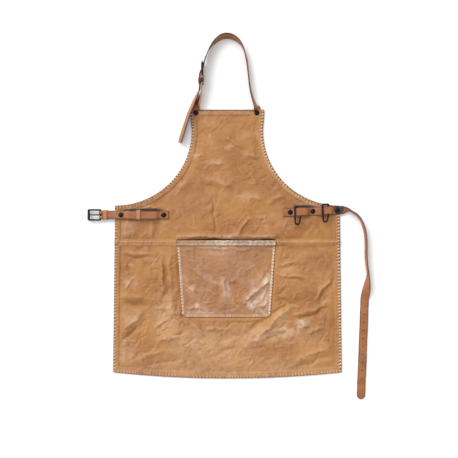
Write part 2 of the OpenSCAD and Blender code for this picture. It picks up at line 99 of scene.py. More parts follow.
def between(tree, value, low, high, toLow=0.0, toHigh=1.0):
    sockets = {"Value": value, "From Min": low, "From Max": high, "To Min": toLow, "To Max": toHigh}
    return addNode(tree, "MapRange", sockets, interpolation_type="SMOOTHSTEP").outputs["Result"]


def mixColour(tree, amount, first, second, blend="MIX"):
    made = addNode(tree, "Mix", {0: amount, 6: first, 7: second}, data_type="RGBA", blend_type=blend)
    return made.outputs[2]


def cloudy(tree, vector, scale, detail=4.0, roughness=0.55, distortion=0.0):
    sockets = {"Vector": vector, "Scale": scale, "Detail": detail, "Roughness": roughness,
               "Distortion": distortion}
    return addNode(tree, "TexNoise", sockets).outputs["Fac"]


def cellEdges(tree, vector, scale):
    sockets = {"Vector": vector, "Scale": scale}
    return addNode(tree, "TexVoronoi", sockets, feature="DISTANCE_TO_EDGE").outputs["Distance"]


def drawnOut(tree, vector, scale):
    return addNode(tree, "Mapping", {"Vector": vector, "Scale": scale}).outputs[0]


def clamped(tree, value):
    return addNode(tree, "Clamp", {"Value": value}).outputs[0]


def newGroup(name, inputs, outputs):
    group = bpy.data.node_groups.new(name, "ShaderNodeTree")
    for label, kind, value in inputs:
        socket = group.interface.new_socket(label, in_out="INPUT", socket_type="NodeSocket" + kind)
        if value is not None:
            socket.default_value = value
    for label, kind in outputs:
        group.interface.new_socket(label, in_out="OUTPUT", socket_type="NodeSocket" + kind)
    return group, group.nodes.new("NodeGroupInput").outputs, group.nodes.new("NodeGroupOutput").inputs


def useGroup(tree, group, sockets):
    made = addNode(tree, "Group", node_tree=group)
    setSockets(tree, made, sockets)
    return made.outputs


def makeMesh(name, points, faces, places=None, marks=None, material=None):
    # points are in millimetres; places are texture places in metres, one for each face corner
    mesh = bpy.data.meshes.new(name)
    mesh.from_pydata((np.asarray(points, float) * mm).tolist(), [], faces)
    if places is not None:
        mesh.uv_layers.new(name="UVMap").data.foreach_set("uv", np.asarray(places, np.float32).ravel())
    for key, values in (marks or {}).items():
        mesh.attributes.new(key, "FLOAT", "POINT").data.foreach_set("value", np.asarray(values, np.float32))
    work = bmesh.new()
    work.from_mesh(mesh)
    bmesh.ops.recalc_face_normals(work, faces=work.faces)
    work.to_mesh(mesh)
    work.free()
    mesh.shade_smooth()
    if material:
        mesh.materials.append(material)
    piece = bpy.data.objects.new(name, mesh)
    bpy.context.scene.collection.objects.link(piece)
    return piece


def skin(rings, closed=False):
    # points, faces and texture places of a tube through rows of rings
    rings = np.asarray(rings, float)
    count, sides = rings.shape[:2]
    middle = rings.mean(1)
    along = np.concatenate([[0], np.cumsum(np.linalg.norm(np.diff(middle, axis=0), axis=1))])
    girth = np.linalg.norm(np.roll(rings[count // 2], -1, 0) - rings[count // 2], axis=1)
    around = np.concatenate([[0], np.cumsum(girth)])
    faces, places = [], []
    for i in range(count if closed else count - 1):
        k = (i + 1) % count
        far = along[i + 1] if i + 1 < count else along[-1] + np.linalg.norm(middle[0] - middle[-1])
        for j in range(sides):
            n = (j + 1) % sides
            faces.append([i * sides + j, i * sides + n, k * sides + n, k * sides + j])
            places += [(along[i], around[j]), (along[i], around[j + 1]),
                       (far, around[j + 1]), (far, around[j])]
    if not closed:
        for i in (0, count - 1):
            order = range(sides) if i else range(sides - 1, -1, -1)
            faces.append([i * sides + j for j in order])
            places += [(along[i] + 0.3 * (rings[i, j, 0] - middle[i, 0]), around[j]) for j in order]
    return rings.reshape(-1, 3), faces, np.array(places) * mm


def joined(parts):
    # several (points, faces, places) in one
    points, faces, places, start = [], [], [], 0
    for partPoints, partFaces, partPlaces in parts:
        points.append(partPoints)
        faces += [[start + i for i in face] for face in partFaces]
        places.append(partPlaces)
        start += len(partPoints)
    return np.concatenate(points), faces, np.concatenate(places)


def resample(points, step):
    points = np.asarray(points, float)
    run = np.concatenate([[0], np.cumsum(np.linalg.norm(np.diff(points, axis=0), axis=1))])
    wanted = np.linspace(0, run[-1], max(2, int(round(run[-1] / step)) + 1))
    return np.stack([np.interp(wanted, run, points[:, k]) for k in range(points.shape[1])], 1)


def smoothLine(points, steps=8):
    # a Catmull-Rom line through the points
    points = np.asarray(points, float)
    padded = np.concatenate([points[:1], points, points[-1:]])
    made = []
    for a, b, c, d in zip(padded, padded[1:], padded[2:], padded[3:]):
        for t in np.arange(steps) / steps:
            made.append((2 * b + (c - a) * t + (2 * a - 5 * b + 4 * c - d) * t * t
                         + (3 * b - a - 3 * c + d) * t ** 3) / 2)
    made.append(points[-1])
    return np.array(made)


def carve(piece, cutters):
    for cutter in cutters:
        made = makeMesh("cutter", *cutter[:2])
        change = piece.modifiers.new("carve", "BOOLEAN")
        change.operation, change.solver, change.object = "DIFFERENCE", "EXACT", made
        shown = piece.evaluated_get(bpy.context.evaluated_depsgraph_get())
        mesh = bpy.data.meshes.new_from_object(shown)
        piece.modifiers.clear()
        piece.data = mesh
        bpy.data.objects.remove(made)


def roundBar(centre, axis, radius, length, sides=20):
    axis = np.array(axis, float) / np.linalg.norm(axis)
    side = np.cross(axis, (0.3, 0.5, 0.81))
    side /= np.linalg.norm(side)
    up = np.cross(axis, side)
    turn = np.linspace(0, 2 * np.pi, sides, endpoint=False)[:, None]
    ring = radius * (np.cos(turn) * side + np.sin(turn) * up) + np.array(centre, float)
    return skin([ring - axis * length / 2, ring + axis * length / 2])


def boxCutter(low, high):
    (x0, y0, z0), (x1, y1, z1) = low, high
    base = np.array([[x0, y0, z0], [x1, y0, z0], [x1, y1, z0], [x0, y1, z0]], float)
    return skin([base, base + (0, 0, z1 - z0)])


# noise over the plane, for the lie of the cloth

def gradientNoise(x, y, seed):
    turns = np.random.default_rng(seed).random((64, 64)) * 2 * np.pi
    cellX, cellY = np.floor(x).astype(int), np.floor(y).astype(int)
    partX, partY = x - cellX, y - cellY

    def corner(stepX, stepY):
        turn = turns[(cellX + stepX) % 64, (cellY + stepY) % 64]
        return np.cos(turn) * (partX - stepX) + np.sin(turn) * (partY - stepY)

    easeX = partX ** 3 * (partX * (partX * 6 - 15) + 10)
    easeY = partY ** 3 * (partY * (partY * 6 - 15) + 10)
    low = corner(0, 0) + easeX * (corner(1, 0) - corner(0, 0))
    high = corner(0, 1) + easeX * (corner(1, 1) - corner(0, 1))
    return 1.5 * (low + easeY * (high - low))


def layeredNoise(x, y, size, octaves, seed):
    total = np.zeros_like(np.asarray(x, float))
    for k in range(octaves):
        total += gradientNoise(x / size * 2 ** k, y / size * 2 ** k, seed + k) / 2 ** k
    return total


# shader groups

def buildWeave():
    tree, given, result = newGroup(
        "canvas weave",
        [("Vector", "Vector", None), ("Threads per Metre", "Float", 900.0)],
        [("Height", "Float"), ("Shade", "Float")])
    wobble = cloudy(tree, given["Vector"], 60.0, 2.0)
    split = addNode(tree, "SeparateXYZ", {0: given["Vector"]}).outputs
    turn = times(tree, given["Threads per Metre"], 2 * math.pi)
    slip = times(tree, wobble, 2.5)
    warp = sums(tree, "SINE", plus(tree, times(tree, split[0], turn), slip))
    weft = sums(tree, "SINE", plus(tree, times(tree, split[1], turn), slip))
    grid = times(tree, warp, weft)
    slub = cloudy(tree, given["Vector"], 700.0, 2.0)
    height = plus(tree, times(tree, grid, 0.35), slub)
    tree.links.new(height, result["Height"])
    tree.links.new(between(tree, height, 0.0, 1.0, 0.94, 1.05), result["Shade"])
    return tree


def buildWax():
    tree, given, result = newGroup(
        "wax bloom",
        [("Vector", "Vector", None), ("Base", "Color", (0.5, 0.25, 0.1, 1)),
         ("Deep", "Color", (0.4, 0.18, 0.07, 1)), ("Rose", "Color", (0.5, 0.25, 0.15, 1)),
         ("Chalk", "Color", (0.7, 0.5, 0.35, 1)), ("Grime And Shade Colour", "Color", (0.05, 0.03, 0.02, 1)),
         ("Wear", "Float", 0.0), ("Grime And Shade", "Float", 0.0), ("Crackle", "Float", 0.5),
         ("Bloom", "Float", 0.3)],
        [("Color", "Color"), ("Roughness", "Float"), ("Height", "Float")])
    place = given["Vector"]
    broad = cloudy(tree, place, 8.0, 4.0, 0.6)
    patch = cloudy(tree, place, 17.0, 4.0, 0.55, 0.8)
    fine = cloudy(tree, place, 75.0, 5.0, 0.62)
    colour = mixColour(tree, between(tree, broad, 0.36, 0.66), given["Base"], given["Deep"])
    colour = mixColour(tree, between(tree, patch, 0.5, 0.72, 0.0, 0.75), colour, given["Rose"])
    swirl = addNode(tree, "TexNoise", {"Vector": place, "Scale": 24.0, "Detail": 3.0}).outputs["Color"]
    swirl = addNode(tree, "VectorMath", {0: swirl, 3: 0.02}, operation="SCALE").outputs[0]
    drift = addNode(tree, "VectorMath", {0: place, 1: swirl}, operation="ADD").outputs[0]
    cells, small = cellEdges(tree, drift, 26.0), cellEdges(tree, drift, 70.0)
    lines = sums(tree, "MAXIMUM", between(tree, cells, 0.045, 0.0), times(tree, between(tree, small, 0.06, 0.0), 0.6))
    where = between(tree, cloudy(tree, place, 16.0, 3.0), 0.45, 0.7)
    crackle = times(tree, times(tree, lines, where), given["Crackle"])
    haze = times(tree, between(tree, cloudy(tree, place, 13.0, 5.0, 0.6, 1.2), 0.52, 0.8),
                given["Bloom"])
    rubbed = times(tree, given["Wear"], between(tree, fine, 0.34, 0.6, 0.3, 1.0))
    crumple = cloudy(tree, place, 52.0, 3.0, 0.5, 0.25)
    facets = between(tree, cellEdges(tree, drift, 34.0), 0.0, 0.4)
    chalk = plus(tree, plus(tree, times(tree, crackle, 0.55), haze), rubbed)
    chalk = clamped(tree, chalk)
    colour = mixColour(tree, chalk, colour, given["Chalk"])
    colour = mixColour(tree, between(tree, fine, 0.3, 0.75, 0.0, 0.16), colour, given["Deep"])
    # darkened by grime, and by painted shade in hollows, gaps and steps
    colour = mixColour(tree, clamped(tree, given["Grime And Shade"]), colour, given["Grime And Shade Colour"])
    tree.links.new(colour, result["Color"])
    rough = plus(tree, between(tree, patch, 0.3, 0.7, 0.31, 0.48), times(tree, chalk, 0.12))
    tree.links.new(rough, result["Roughness"])
    lumps = plus(tree, times(tree, fine, 0.7), times(tree, crumple, 1.3))
    lumps = plus(tree, lumps, times(tree, times(tree, facets, where), 1.3))
    lumps = plus(tree, lumps, times(tree, between(tree, small, 0.0, 0.35, 0.0, 0.4), where))
    tree.links.new(sums(tree, "SUBTRACT", lumps, crackle), result["Height"])
    return tree


def buildLeather():
    tree, given, result = newGroup(
        "leather grain",
        [("Vector", "Vector", None), ("Base", "Color", (0.4, 0.15, 0.07, 1)),
         ("Deep", "Color", (0.2, 0.07, 0.03, 1)), ("Flesh", "Color", (0.6, 0.4, 0.25, 1)),
         ("Dark Mark And Shade Colour", "Color", (0.02, 0.01, 0.01, 1)), ("Edge", "Float", 0.0),
         ("Back", "Float", 0.0), ("Dark Mark And Shade", "Float", 0.0)],
        [("Color", "Color"), ("Roughness", "Float"), ("Height", "Float")])
    place = given["Vector"]
    broad = cloudy(tree, place, 30.0, 5.0, 0.6)
    streak = cloudy(tree, drawnOut(tree, place, (0.25, 1.6, 1.0)), 160.0, 4.0, 0.6)
    pebbles = {"Vector": place, "Scale": 950.0}
    grain = addNode(tree, "TexVoronoi", pebbles, feature="SMOOTH_F1").outputs["Distance"]
    pull = cloudy(tree, place, 420.0, 3.0)
    colour = mixColour(tree, between(tree, broad, 0.35, 0.68, 0.0, 0.4), given["Base"], given["Deep"])
    colour = mixColour(tree, between(tree, streak, 0.5, 0.72, 0.0, 0.3), colour, given["Flesh"])
    colour = mixColour(tree, between(tree, grain, 0.2, 0.7, 0.0, 0.22), colour, given["Deep"])
    colour = mixColour(tree, times(tree, given["Back"], 0.72), colour, given["Flesh"])
    colour = mixColour(tree, times(tree, given["Edge"], 0.88), colour, given["Deep"])
    # dark marks, and painted shade round holes
    colour = mixColour(tree, given["Dark Mark And Shade"], colour, given["Dark Mark And Shade Colour"])
    tree.links.new(colour, result["Color"])
    tree.links.new(between(tree, broad, 0.3, 0.7, 0.42, 0.58), result["Roughness"])
    height = plus(tree, times(tree, grain, -0.6), times(tree, pull, 0.6))
    tree.links.new(height, result["Height"])
    return tree


def buildMetalWear():
    tree, given, result = newGroup(
        "handled metal",
        [("Vector", "Vector", None), ("Base", "Color", (0.02, 0.02, 0.02, 1)),
         ("Bare", "Color", (0.2, 0.2, 0.2, 1)), ("Rub", "Float", 0.3)],
        [("Color", "Color"), ("Roughness", "Float"), ("Height", "Float")])
    place = given["Vector"]
    cloud = cloudy(tree, place, 180.0, 5.0, 0.65)
    scratch = cloudy(tree, drawnOut(tree, place, (0.3, 2.4, 1.0)), 600.0, 3.0, 0.7)
    worn = times(tree, between(tree, cloud, 0.5, 0.7), given["Rub"])
    worn = plus(tree, worn, between(tree, scratch, 0.64, 0.74, 0.0, 0.35))
    tree.links.new(mixColour(tree, worn, given["Base"], given["Bare"]), result["Color"])
    tree.links.new(between(tree, cloud, 0.25, 0.75, 0.3, 0.52), result["Roughness"])
    height = plus(tree, times(tree, cloud, 0.7), times(tree, scratch, 0.3))
    tree.links.new(height, result["Height"])
    return tree


weaveGroup = buildWeave()
waxGroup = buildWax()
leatherGroup = buildLeather()
metalGroup = buildMetalWear()


def startMaterial(name):
    material = bpy.data.materials.new(name)
    material.use_nodes = True
    tree = material.node_tree
    return material, tree, tree.nodes["Principled BSDF"]


def clothPlace(tree):
    return addNode(tree, "UVMap", uv_map="UVMap").outputs[0]


def mark(tree, name):
    return addNode(tree, "Attribute", attribute_name=name).outputs["Fac"]


def finishMaterial(tree, shader, look, colour, roughness, height):
    tree.links.new(colour, shader.inputs["Base Color"])
    tree.links.new(roughness, shader.inputs["Roughness"])
    bump = addNode(tree, "Bump", {"Height": height, "Strength": look["bump"], "Distance": look["bumpDepth"]})
    tree.links.new(bump.outputs["Normal"], shader.inputs["Normal"])
    shader.inputs["Specular IOR Level"].default_value = look["gloss"]


def canvasMaterial(name, look):
    material, tree, shader = startMaterial(name)
    place = clothPlace(tree)
    weave = useGroup(tree, weaveGroup, {"Vector": place, "Threads per Metre": look["threads"]})
    wax = useGroup(tree, waxGroup, {
        "Vector": place, "Base": look["base"], "Deep": look["deep"], "Rose": look["rose"],
        "Chalk": look["chalk"], "Grime And Shade Colour": look["grime"], "Wear": mark(tree, "wear"),
        "Grime And Shade": mark(tree, "grime"), "Crackle": look["crackle"], "Bloom": look["bloom"]})
    shade = addNode(tree, "CombineColor", {channel: weave["Shade"] for channel in range(3)})
    colour = mixColour(tree, 1.0, wax["Color"], shade.outputs[0], "MULTIPLY")
    height = plus(tree, times(tree, weave["Height"], look["weaveDepth"]), wax["Height"])
    finishMaterial(tree, shader, look, colour, wax["Roughness"], height)
    return material


def leatherMaterial(name, base, deep, flesh):
    material, tree, shader = startMaterial(name)
    grain = useGroup(tree, leatherGroup, {
        "Vector": clothPlace(tree), "Base": base, "Deep": deep, "Flesh": flesh,
        "Dark Mark And Shade Colour": leatherLook["darkMarkAndShade"], "Edge": mark(tree, "edge"), "Back": mark(tree, "back"),
        "Dark Mark And Shade": mark(tree, "darkMarkAndShade")})
    finishMaterial(tree, shader, leatherLook, grain["Color"], grain["Roughness"], grain["Height"])
    return material


def metalMaterial(name, look):
    material, tree, shader = startMaterial(name)
    place = addNode(tree, "TexCoord").outputs["Object"]
    metal = useGroup(tree, metalGroup, {
        "Vector": place, "Base": look["base"], "Bare": look["bare"], "Rub": look["rub"]})
    finishMaterial(tree, shader, look, metal["Color"], metal["Roughness"], metal["Height"])
    shader.inputs["Metallic"].default_value = look["metallic"]
    return material


def threadMaterial(name, base, deep):
    material, tree, shader = startMaterial(name)
    place = clothPlace(tree)
    split = addNode(tree, "SeparateXYZ", {0: place}).outputs
    turned = plus(tree, times(tree, split[0], threadLook["twistAlong"]),
                  times(tree, split[1], threadLook["twistAround"]))
    ply = sums(tree, "SINE", turned)
    spots = cloudy(tree, place, 90.0, 3.0)
    colour = mixColour(tree, between(tree, spots, 0.35, 0.7), base, deep)
    # painted shade in the grooves of the twist
    colour = mixColour(tree, between(tree, ply, -1.0, 1.0, 0.35, 0.0), colour, deep)
    finishMaterial(tree, shader, threadLook, colour, between(tree, spots, 0.3, 0.7, 0.6, 0.8), ply)
    return material


canvasLook = {
    "threads": 900.0, "weaveDepth": 0.2, "bump": 0.8, "bumpDepth": 0.0022, "gloss": 0.5,
    "base": tint(168, 115, 54), "deep": tint(147, 92, 40), "rose": tint(168, 114, 68),
    # the grime colour is also the colour of painted shade
    "chalk": tint(208, 174, 142), "grime": tint(40, 25, 15), "crackle": 0.22, "bloom": 0.2,
}
leatherLook = {"darkMarkAndShade": tint(34, 27, 25), "bump": 0.35, "bumpDepth": 0.0005, "gloss": 0.45}
threadLook = {"twistAlong": 4200.0, "twistAround": 2200.0, "bump": 0.5, "bumpDepth": 0.0002, "gloss": 0.5}
steelLook = {
    "base": tint(22, 22, 24), "bare": tint(72, 72, 78), "rub": 0.25, "metallic": 0.75,
    "bump": 0.25, "bumpDepth": 0.0003, "gloss": 0.5,
}
waxedCanvas = canvasMaterial("waxed canvas", canvasLook)
pocketCanvas = canvasMaterial("pocket canvas", {
    **canvasLook, "base": tint(164, 113, 68), "deep": tint(148, 98, 58), "rose": tint(172, 124, 94),
    "chalk": tint(212, 186, 166), "bloom": 0.34, "crackle": 0.25})
# a darker copy of the canvas for the turned hems: painted shade under the canvas edges
shadedHemCanvas = canvasMaterial("shaded hem canvas", {
    **canvasLook, "base": tint(138, 92, 54), "deep": tint(100, 64, 38), "rose": tint(142, 100, 70)})
wornCanvas = canvasMaterial("worn canvas", {
    **canvasLook, "base": tint(160, 116, 76), "deep": tint(126, 92, 66), "rose": tint(170, 136, 108),
    "chalk": tint(222, 208, 192), "bloom": 0.5, "crackle": 0.6})
seamThread = threadMaterial("seam thread", tint(206, 158, 108), tint(172, 120, 74))
paleThread = threadMaterial("pale thread", tint(238, 216, 186), tint(204, 170, 132))
strapLeather = leatherMaterial("strap leather", tint(160, 98, 52), tint(70, 40, 26), tint(192, 140, 94))
keeperLeather = leatherMaterial("keeper leather", tint(184, 118, 76), tint(96, 56, 36), tint(210, 158, 112))
# very dark leather for the neck keeper, darker than its own tone to stand in for the shade round the edge-on neck
# buckle
darkLeatherAndShade = leatherMaterial("dark leather with painted shade", tint(52, 34, 28), tint(24, 17, 15), tint(78, 52, 40))
blackSteel = metalMaterial("blackened steel", steelLook)
print("materials are ready")


# the lie of the canvas, in millimetres

def span(name):
    low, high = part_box(name)
    return np.array(low) / mm, np.array(high) / mm


bibLow, bibHigh = span("bib_panel")
skirtLow, skirtHigh = span("skirt_panel")
pocketLow, pocketHigh = span("pocket_front")
canvas = {
    "thickness": 1.2, "openTop": 3.4, "hemTop": 5.2, "hemWidth": 15.0, "lapLift": 1.9,
    "topHalf": 111.0, "waistHalf": 106.0, "armholeTop": 262.0, "armholeFoot": 36.0,
    "hipHalf": 336.0, "cornerHalf": skirtHigh[0], "cornerY": -463.0, "bow": 18.0,
    "topY": bibHigh[1], "seamY": skirtHigh[1], "lapY": bibLow[1], "meshStep": 2.15,
    "broad": 4.4, "rope": 1.25, "ropePitch": 9.3, "crinkles": 560, "foldScale": 2.15,
}
pocket = {
    "centre": (pocketLow[0] + pocketHigh[0]) / 2, "mouthHalf": (pocketHigh[0] - pocketLow[0]) / 2 * 1.03,
    "footHalf": 132.0, "mouthY": pocketHigh[1], "footY": pocketLow[1], "chamfer": 9.0, "bulge": 3.2,
}

# kinds of edge
topEdge, armholeEdge, sideEdge, bottomEdge, lapEdge, plainEdge, pocketSide, pocketFoot, mouthEdge = range(9)
hemKinds = (topEdge, armholeEdge, sideEdge, bottomEdge)
ropeByKind = np.array([0.15, 0.7, 1.0, 0.6, 0.0, 0.0, 0.9, 0.4, 0.3])  # how deeply each kind puckers


def rightEdge():
    armY = canvas["armholeTop"] - canvas["armholeFoot"]
    armX = canvas["hipHalf"] - canvas["waistHalf"]
    turn = np.linspace(0, np.pi / 2, 180)
    arm = np.stack([canvas["hipHalf"] - armX * np.cos(turn), canvas["armholeTop"] - armY * np.sin(turn)], 1)
    return np.concatenate([[[canvas["topHalf"], canvas["topY"]]], arm,
                           [[canvas["cornerHalf"], canvas["cornerY"]]]])


def bodyHalfWidth(y):
    edge = rightEdge()[::-1]
    return np.interp(y, edge[:, 1], edge[:, 0])


def edgePart(low, high, side):
    line = rightEdge()
    top = [[bodyHalfWidth(high), high]]
    foot = [[bodyHalfWidth(low), low]]
    inside = line[(line[:, 1] < high - 0.01) & (line[:, 1] > low + 0.01)]
    line = np.concatenate([top, inside, foot])
    return line if side > 0 else (line * (-1, 1))


def outlineNormals(outline):
    ahead = np.roll(outline, -1, 0) - np.roll(outline, 1, 0)
    normals = np.stack([-ahead[:, 1], ahead[:, 0]], 1)
    return normals / np.linalg.norm(normals, axis=1)[:, None]


def cutCloth(parts, shape):
    # parts are (points, kind of edge) in order round the piece; shape gives height, wear, and grime with painted
    # shade
    points, kinds = [], []
    for part, kind in parts:
        line = resample(part, canvas["meshStep"])[:-1]
        points.append(line)
        kinds += [kind] * len(line)
    outline = np.concatenate(points)
    return {"outline": outline, "kinds": np.array(kinds), "normals": outlineNormals(outline), "shape": shape}


def lengthsAlong(outline):
    lengths = np.linalg.norm(np.roll(outline, -1, 0) - outline, axis=1)
    return lengths, np.concatenate([[0], np.cumsum(lengths)[:-1]])


def measureEdge(points, cloth):
    # how far in from the outline each point is, how far along it, and the kind of edge there
    outline = cloth["outline"]
    tree = kdtree.KDTree(len(outline))
    for index, (x, y) in enumerate(outline):
        tree.insert((x, y, 0), index)
    tree.balance()
    nearest = np.array([tree.find((x, y, 0))[1] for x, y in points])
    steps = np.roll(outline, -1, 0) - outline
    lengths, along = lengthsAlong(outline)
    best = np.full(len(points), np.inf)
    far = np.zeros(len(points))
    kind = np.zeros(len(points), int)
    for offset in (0, -1):
        index = (nearest + offset) % len(outline)
        away = points - outline[index]
        t = np.clip((away * steps[index]).sum(1) / lengths[index] ** 2, 0, 1)
        distance = np.linalg.norm(away - t[:, None] * steps[index], axis=1)
        closer = distance < best
        best[closer] = distance[closer]
        far[closer] = (along[index] + t * lengths[index])[closer]
        kind[closer] = cloth["kinds"][index][closer]
    return best, far, kind, nearest


def insideOutline(points, outline):
    inside = np.zeros(len(points), bool)
    x, y = points[:, 0], points[:, 1]
    ahead = np.roll(outline, -1, 0)
    for (x0, y0), (x1, y1) in zip(outline, ahead):
        if y0 == y1:
            continue
        crosses = (y0 > y) != (y1 > y)
        inside ^= crosses & (x < (x1 - x0) * (y - y0) / (y1 - y0) + x0)
    return inside


def flatMesh(cloth, rings):
    # even triangles over the outline, with rows that follow its edges
    outline, step = cloth["outline"], canvas["meshStep"]
    low, high = outline.min(0), outline.max(0)
    rows = np.arange(low[1], high[1], step * 0.866)
    lattice = np.array([(x + (row % 2) * step / 2, y) for row, y in enumerate(rows)
                        for x in np.arange(low[0] + 0.7, high[0], step)])
    points = np.concatenate([lattice] + [outline + cloth["normals"] * reach for reach in rings])
    least = np.concatenate([np.full(len(lattice), rings[-1] + step * 0.6)]
                           + [np.full(len(outline), reach - 0.12) for reach in rings])
    inside = insideOutline(points, outline)
    points, least = points[inside], least[inside]
    points = points[measureEdge(points, cloth)[0] >= least]
    everything = np.concatenate([outline, points])
    count = len(outline)
    edges = [(i, (i + 1) % count) for i in range(count)]
    made, _, faces, *_ = geometry.delaunay_2d_cdt([tuple(p) for p in everything], edges, [], 1, 1e-5)
    return np.array([tuple(p) for p in made]), [list(face) for face in faces]


# folds: from x, y to x, y, half width, height; a negative height is a valley
placedFolds = [
    (158, -157, 205, -144, 5, -1.6), (160, -146, 205, -133, 5, 1.3), (181, -183, 243, -195, 4, -2.0),
    (150, -170, 235, -178, 7, 1.8), (147, -232, 169, -223, 3.5, -1.4), (163, -244, 200, -257, 4, -1.8),
    (62, -343, 140, -286, 8, -3.0), (140, -286, 178, -260, 6, -2.4), (92, -356, 186, -268, 10, 3.2),
    (209, -302, 257, -293, 5, -2.6), (257, -293, 300, -272, 6, -2.2), (205, -290, 292, -266, 8, 2.4),
    (209, -310, 243, -322, 8, 1.8), (280, -254, 320, -182, 8, -3.2), (266, -240, 312, -172, 7, 2.2),
    (254, -361, 293, -338, 7, -2.4), (244, -346, 282, -326, 7, 1.6), (120, -368, 184, -342, 7, -1.8),
    (30, -392, 120, -352, 12, 2.0), (-60, -420, 40, -388, 11, -1.6), (200, -430, 300, -385, 12, 2.2),
    (215, -446, 318, -410, 9, -1.8), (-197, -120, -190, -235, 5, 1.8), (-184, -130, -180, -236, 4, -1.6),
    (-172, -110, -168, -215, 6, 1.4), (-191, -258, -187, -228, 4, -2.2), (-150, -228, -147, -278, 6, -2.0),
    (-170, -226, -160, -300, 10, 2.2), (-288, -349, -240, -303, 6, -3.0), (-330, -392, -288, -349, 7, -2.6),
    (-306, -330, -258, -284, 10, 2.6), (-318, -255, -238, -262, 8, -2.2), (-318, -236, -248, -240, 9, 1.4),
    (-302, -211, -274, -179, 3.5, 1.8), (-219, -136, -205, -113, 3, 1.8), (-312, -116, -216, -119, 6, -1.6),
    (-318, -103, -226, -104, 7, 1.6), (-142, -297, -118, -318, 3, 1.8), (-136, -303, -124, -326, 3, -1.4),
    (-102, -320, -69, -350, 4, 1.8), (-170, -355, -132, -343, 4, -2.2), (-214, -330, -180, -300, 5, 1.8),
    (-206, -372, -150, -352, 9, 2.2), (-262, -420, -190, -398, 10, 1.8), (-240, -440, -130, -424, 10, -1.8),
    (20, -316, 84, -312, 4, -1.2), (-70, -330, 10, -334, 7, 1.4), (-20, -362, 50, -350, 8, -1.4),
    (-96, 244, -24, 268, 9, -1.6), (-58, 164, -16, 156, 8, 1.8), (-70, 104, -12, 74, 9, -2.0),
    (-70, 124, 10, 96, 12, 1.8), (-43, 52, -37, -50, 3.2, -1.5), (66, 178, 116, 166, 6, -1.8),
    (48, 190, 100, 186, 8, 1.4), (20, -58, 70, -4, 6, 2.2), (44, 66, 108, 62, 9, 1.7),
    (60, 20, 120, -36, 9, -1.5), (-210, 4, -208, -66, 5, -1.7), (-224, 0, -222, -62, 6, 1.2),
    (-110, 186, -82, 184, 4, 1.5), (-10, 246, 44, 208, 8, 1.4), (-4, 234, 52, 196, 6, -1.3),
    (70, 132, 84, 96, 6, 1.4), (120, 40, 170, 70, 10, 1.6), (-160, 60, -120, 120, 12, 1.4),
    (-300, 27, -196, 27, 5, 4.4), (-262, 40, -226, 30, 5, 2.0), (200, 41, 262, 40, 5, 3.6),
    (-312, -30, -300, -58, 8, 1.6), (60, -52, 130, -60, 5, 2.0), (-120, -54, -30, -60, 5, 2.4),
]
pocketFolds = [
    (54, -252, 96, -212, 7, 3.4), (96, -212, 124, -182, 8, 3.6), (66, -262, 104, -228, 5, -2.4),
    (100, -246, 118, -218, 4, 1.6), (-8, -186, -10, -248, 9, 2.0), (-24, -200, -22, -250, 7, -1.6),
    (-126, -268, -36, -278, 6, 2.0), (-120, -282, -40, -287, 5, -1.6), (-128, -200, -96, -228, 5, 1.7),
    (10, -250, 44, -282, 5, 1.7), (26, -262, 64, -272, 4, -1.7), (88, -190, 104, -160, 6, 1.4),
    (-60, -214, -30, -232, 5, 1.2), (70, -250, 76, -280, 4, 1.4), (-110, -88, 60, -96, 7, 1.4),
    (40, -104, 128, -98, 7, -1.2), (94, -260, 122, -252, 4, 1.8), (-4, -278, 30, -262, 4, -1.5),
]


def scatterCreases(seed, count, low, high, weigh):
    draw = np.random.default_rng(seed)
    lines = []
    while len(lines) < count:
        x, y = draw.uniform(low, high)
        lean = draw.choice([0.75, -0.6, 1.5, 0.1]) + draw.normal(0, 0.3)
        length = draw.uniform(9, 46) * draw.uniform(0.5, 1.2)
        width, height = draw.uniform(1.5, 3.6), draw.uniform(0.2, 0.9) * draw.choice([1, -1])
        if draw.random() < weigh(x, y):
            lines.append((x, y, x + length * math.cos(lean), y + length * math.sin(lean), width, height))
    return lines


def bodyCrease(x, y):
    share = 0.22 if y > -66 else 0.5
    for cornerX, cornerY, reach in ((-134, -298, 70), (132, -290, 90), (250, -300, 90), (-190, -250, 70),
                                    (-280, -420, 80), (300, -430, 80), (0, -420, 110)):
        share += 0.6 * math.exp(-((x - cornerX) ** 2 + (y - cornerY) ** 2) / reach ** 2)
    return min(share, 1)


def pocketCrease(x, y):
    return 0.2 + 0.8 * math.exp(-((x - 70) ** 2 + (y + 260) ** 2) / 80 ** 2) + (
        0.4 if y < -250 or x < -100 else 0)


bodyCreases = placedFolds + scatterCreases(5, canvas["crinkles"], (-335, -475), (335, 318), bodyCrease)
pocketCreases = pocketFolds + scatterCreases(8, 150, (-145, -296), (140, -84), pocketCrease)


def drift(x, y, size, seed):
    return gradientNoise(x / size, y / size, seed)


def foldLift(x, y, lines, seed):
    # height and rubbed wax of every crease, at each point
    bendX = x + 7 * drift(x, y, 42, seed) + 2.2 * drift(x, y, 15, seed + 1)
    bendY = (y + 7 * gradientNoise(x / 42 + 9, y / 42, seed + 2)
             + 2.2 * gradientNoise(x / 15, y / 15 + 7, seed + 3))
    lift, rub = np.zeros_like(x), np.zeros_like(x)
    for x0, y0, x1, y1, width, height in lines:
        length = math.hypot(x1 - x0, y1 - y0)
        reach = length / 2 + 5 * width
        near = np.nonzero((np.abs(bendX - (x0 + x1) / 2) < reach)
                          & (np.abs(bendY - (y0 + y1) / 2) < reach))[0]
        if len(near) == 0:
            continue
        offX, offY = bendX[near] - x0, bendY[near] - y0
        run = (offX * (x1 - x0) + offY * (y1 - y0)) / length
        side = (offX * (y1 - y0) - offY * (x1 - x0)) / length
        fade = ease(run, -0.2 * length, 0.3 * length) * ease(run, 1.2 * length, 0.7 * length)
        lift[near] += height * canvas["foldScale"] * fade * (1 + (side / width) ** 2) ** -1.4
        if height > 0:
            rub[near] += min(1, height / 1.6) * fade * np.exp(-(side / (0.4 * width + 0.7)) ** 2)
    return lift, rub


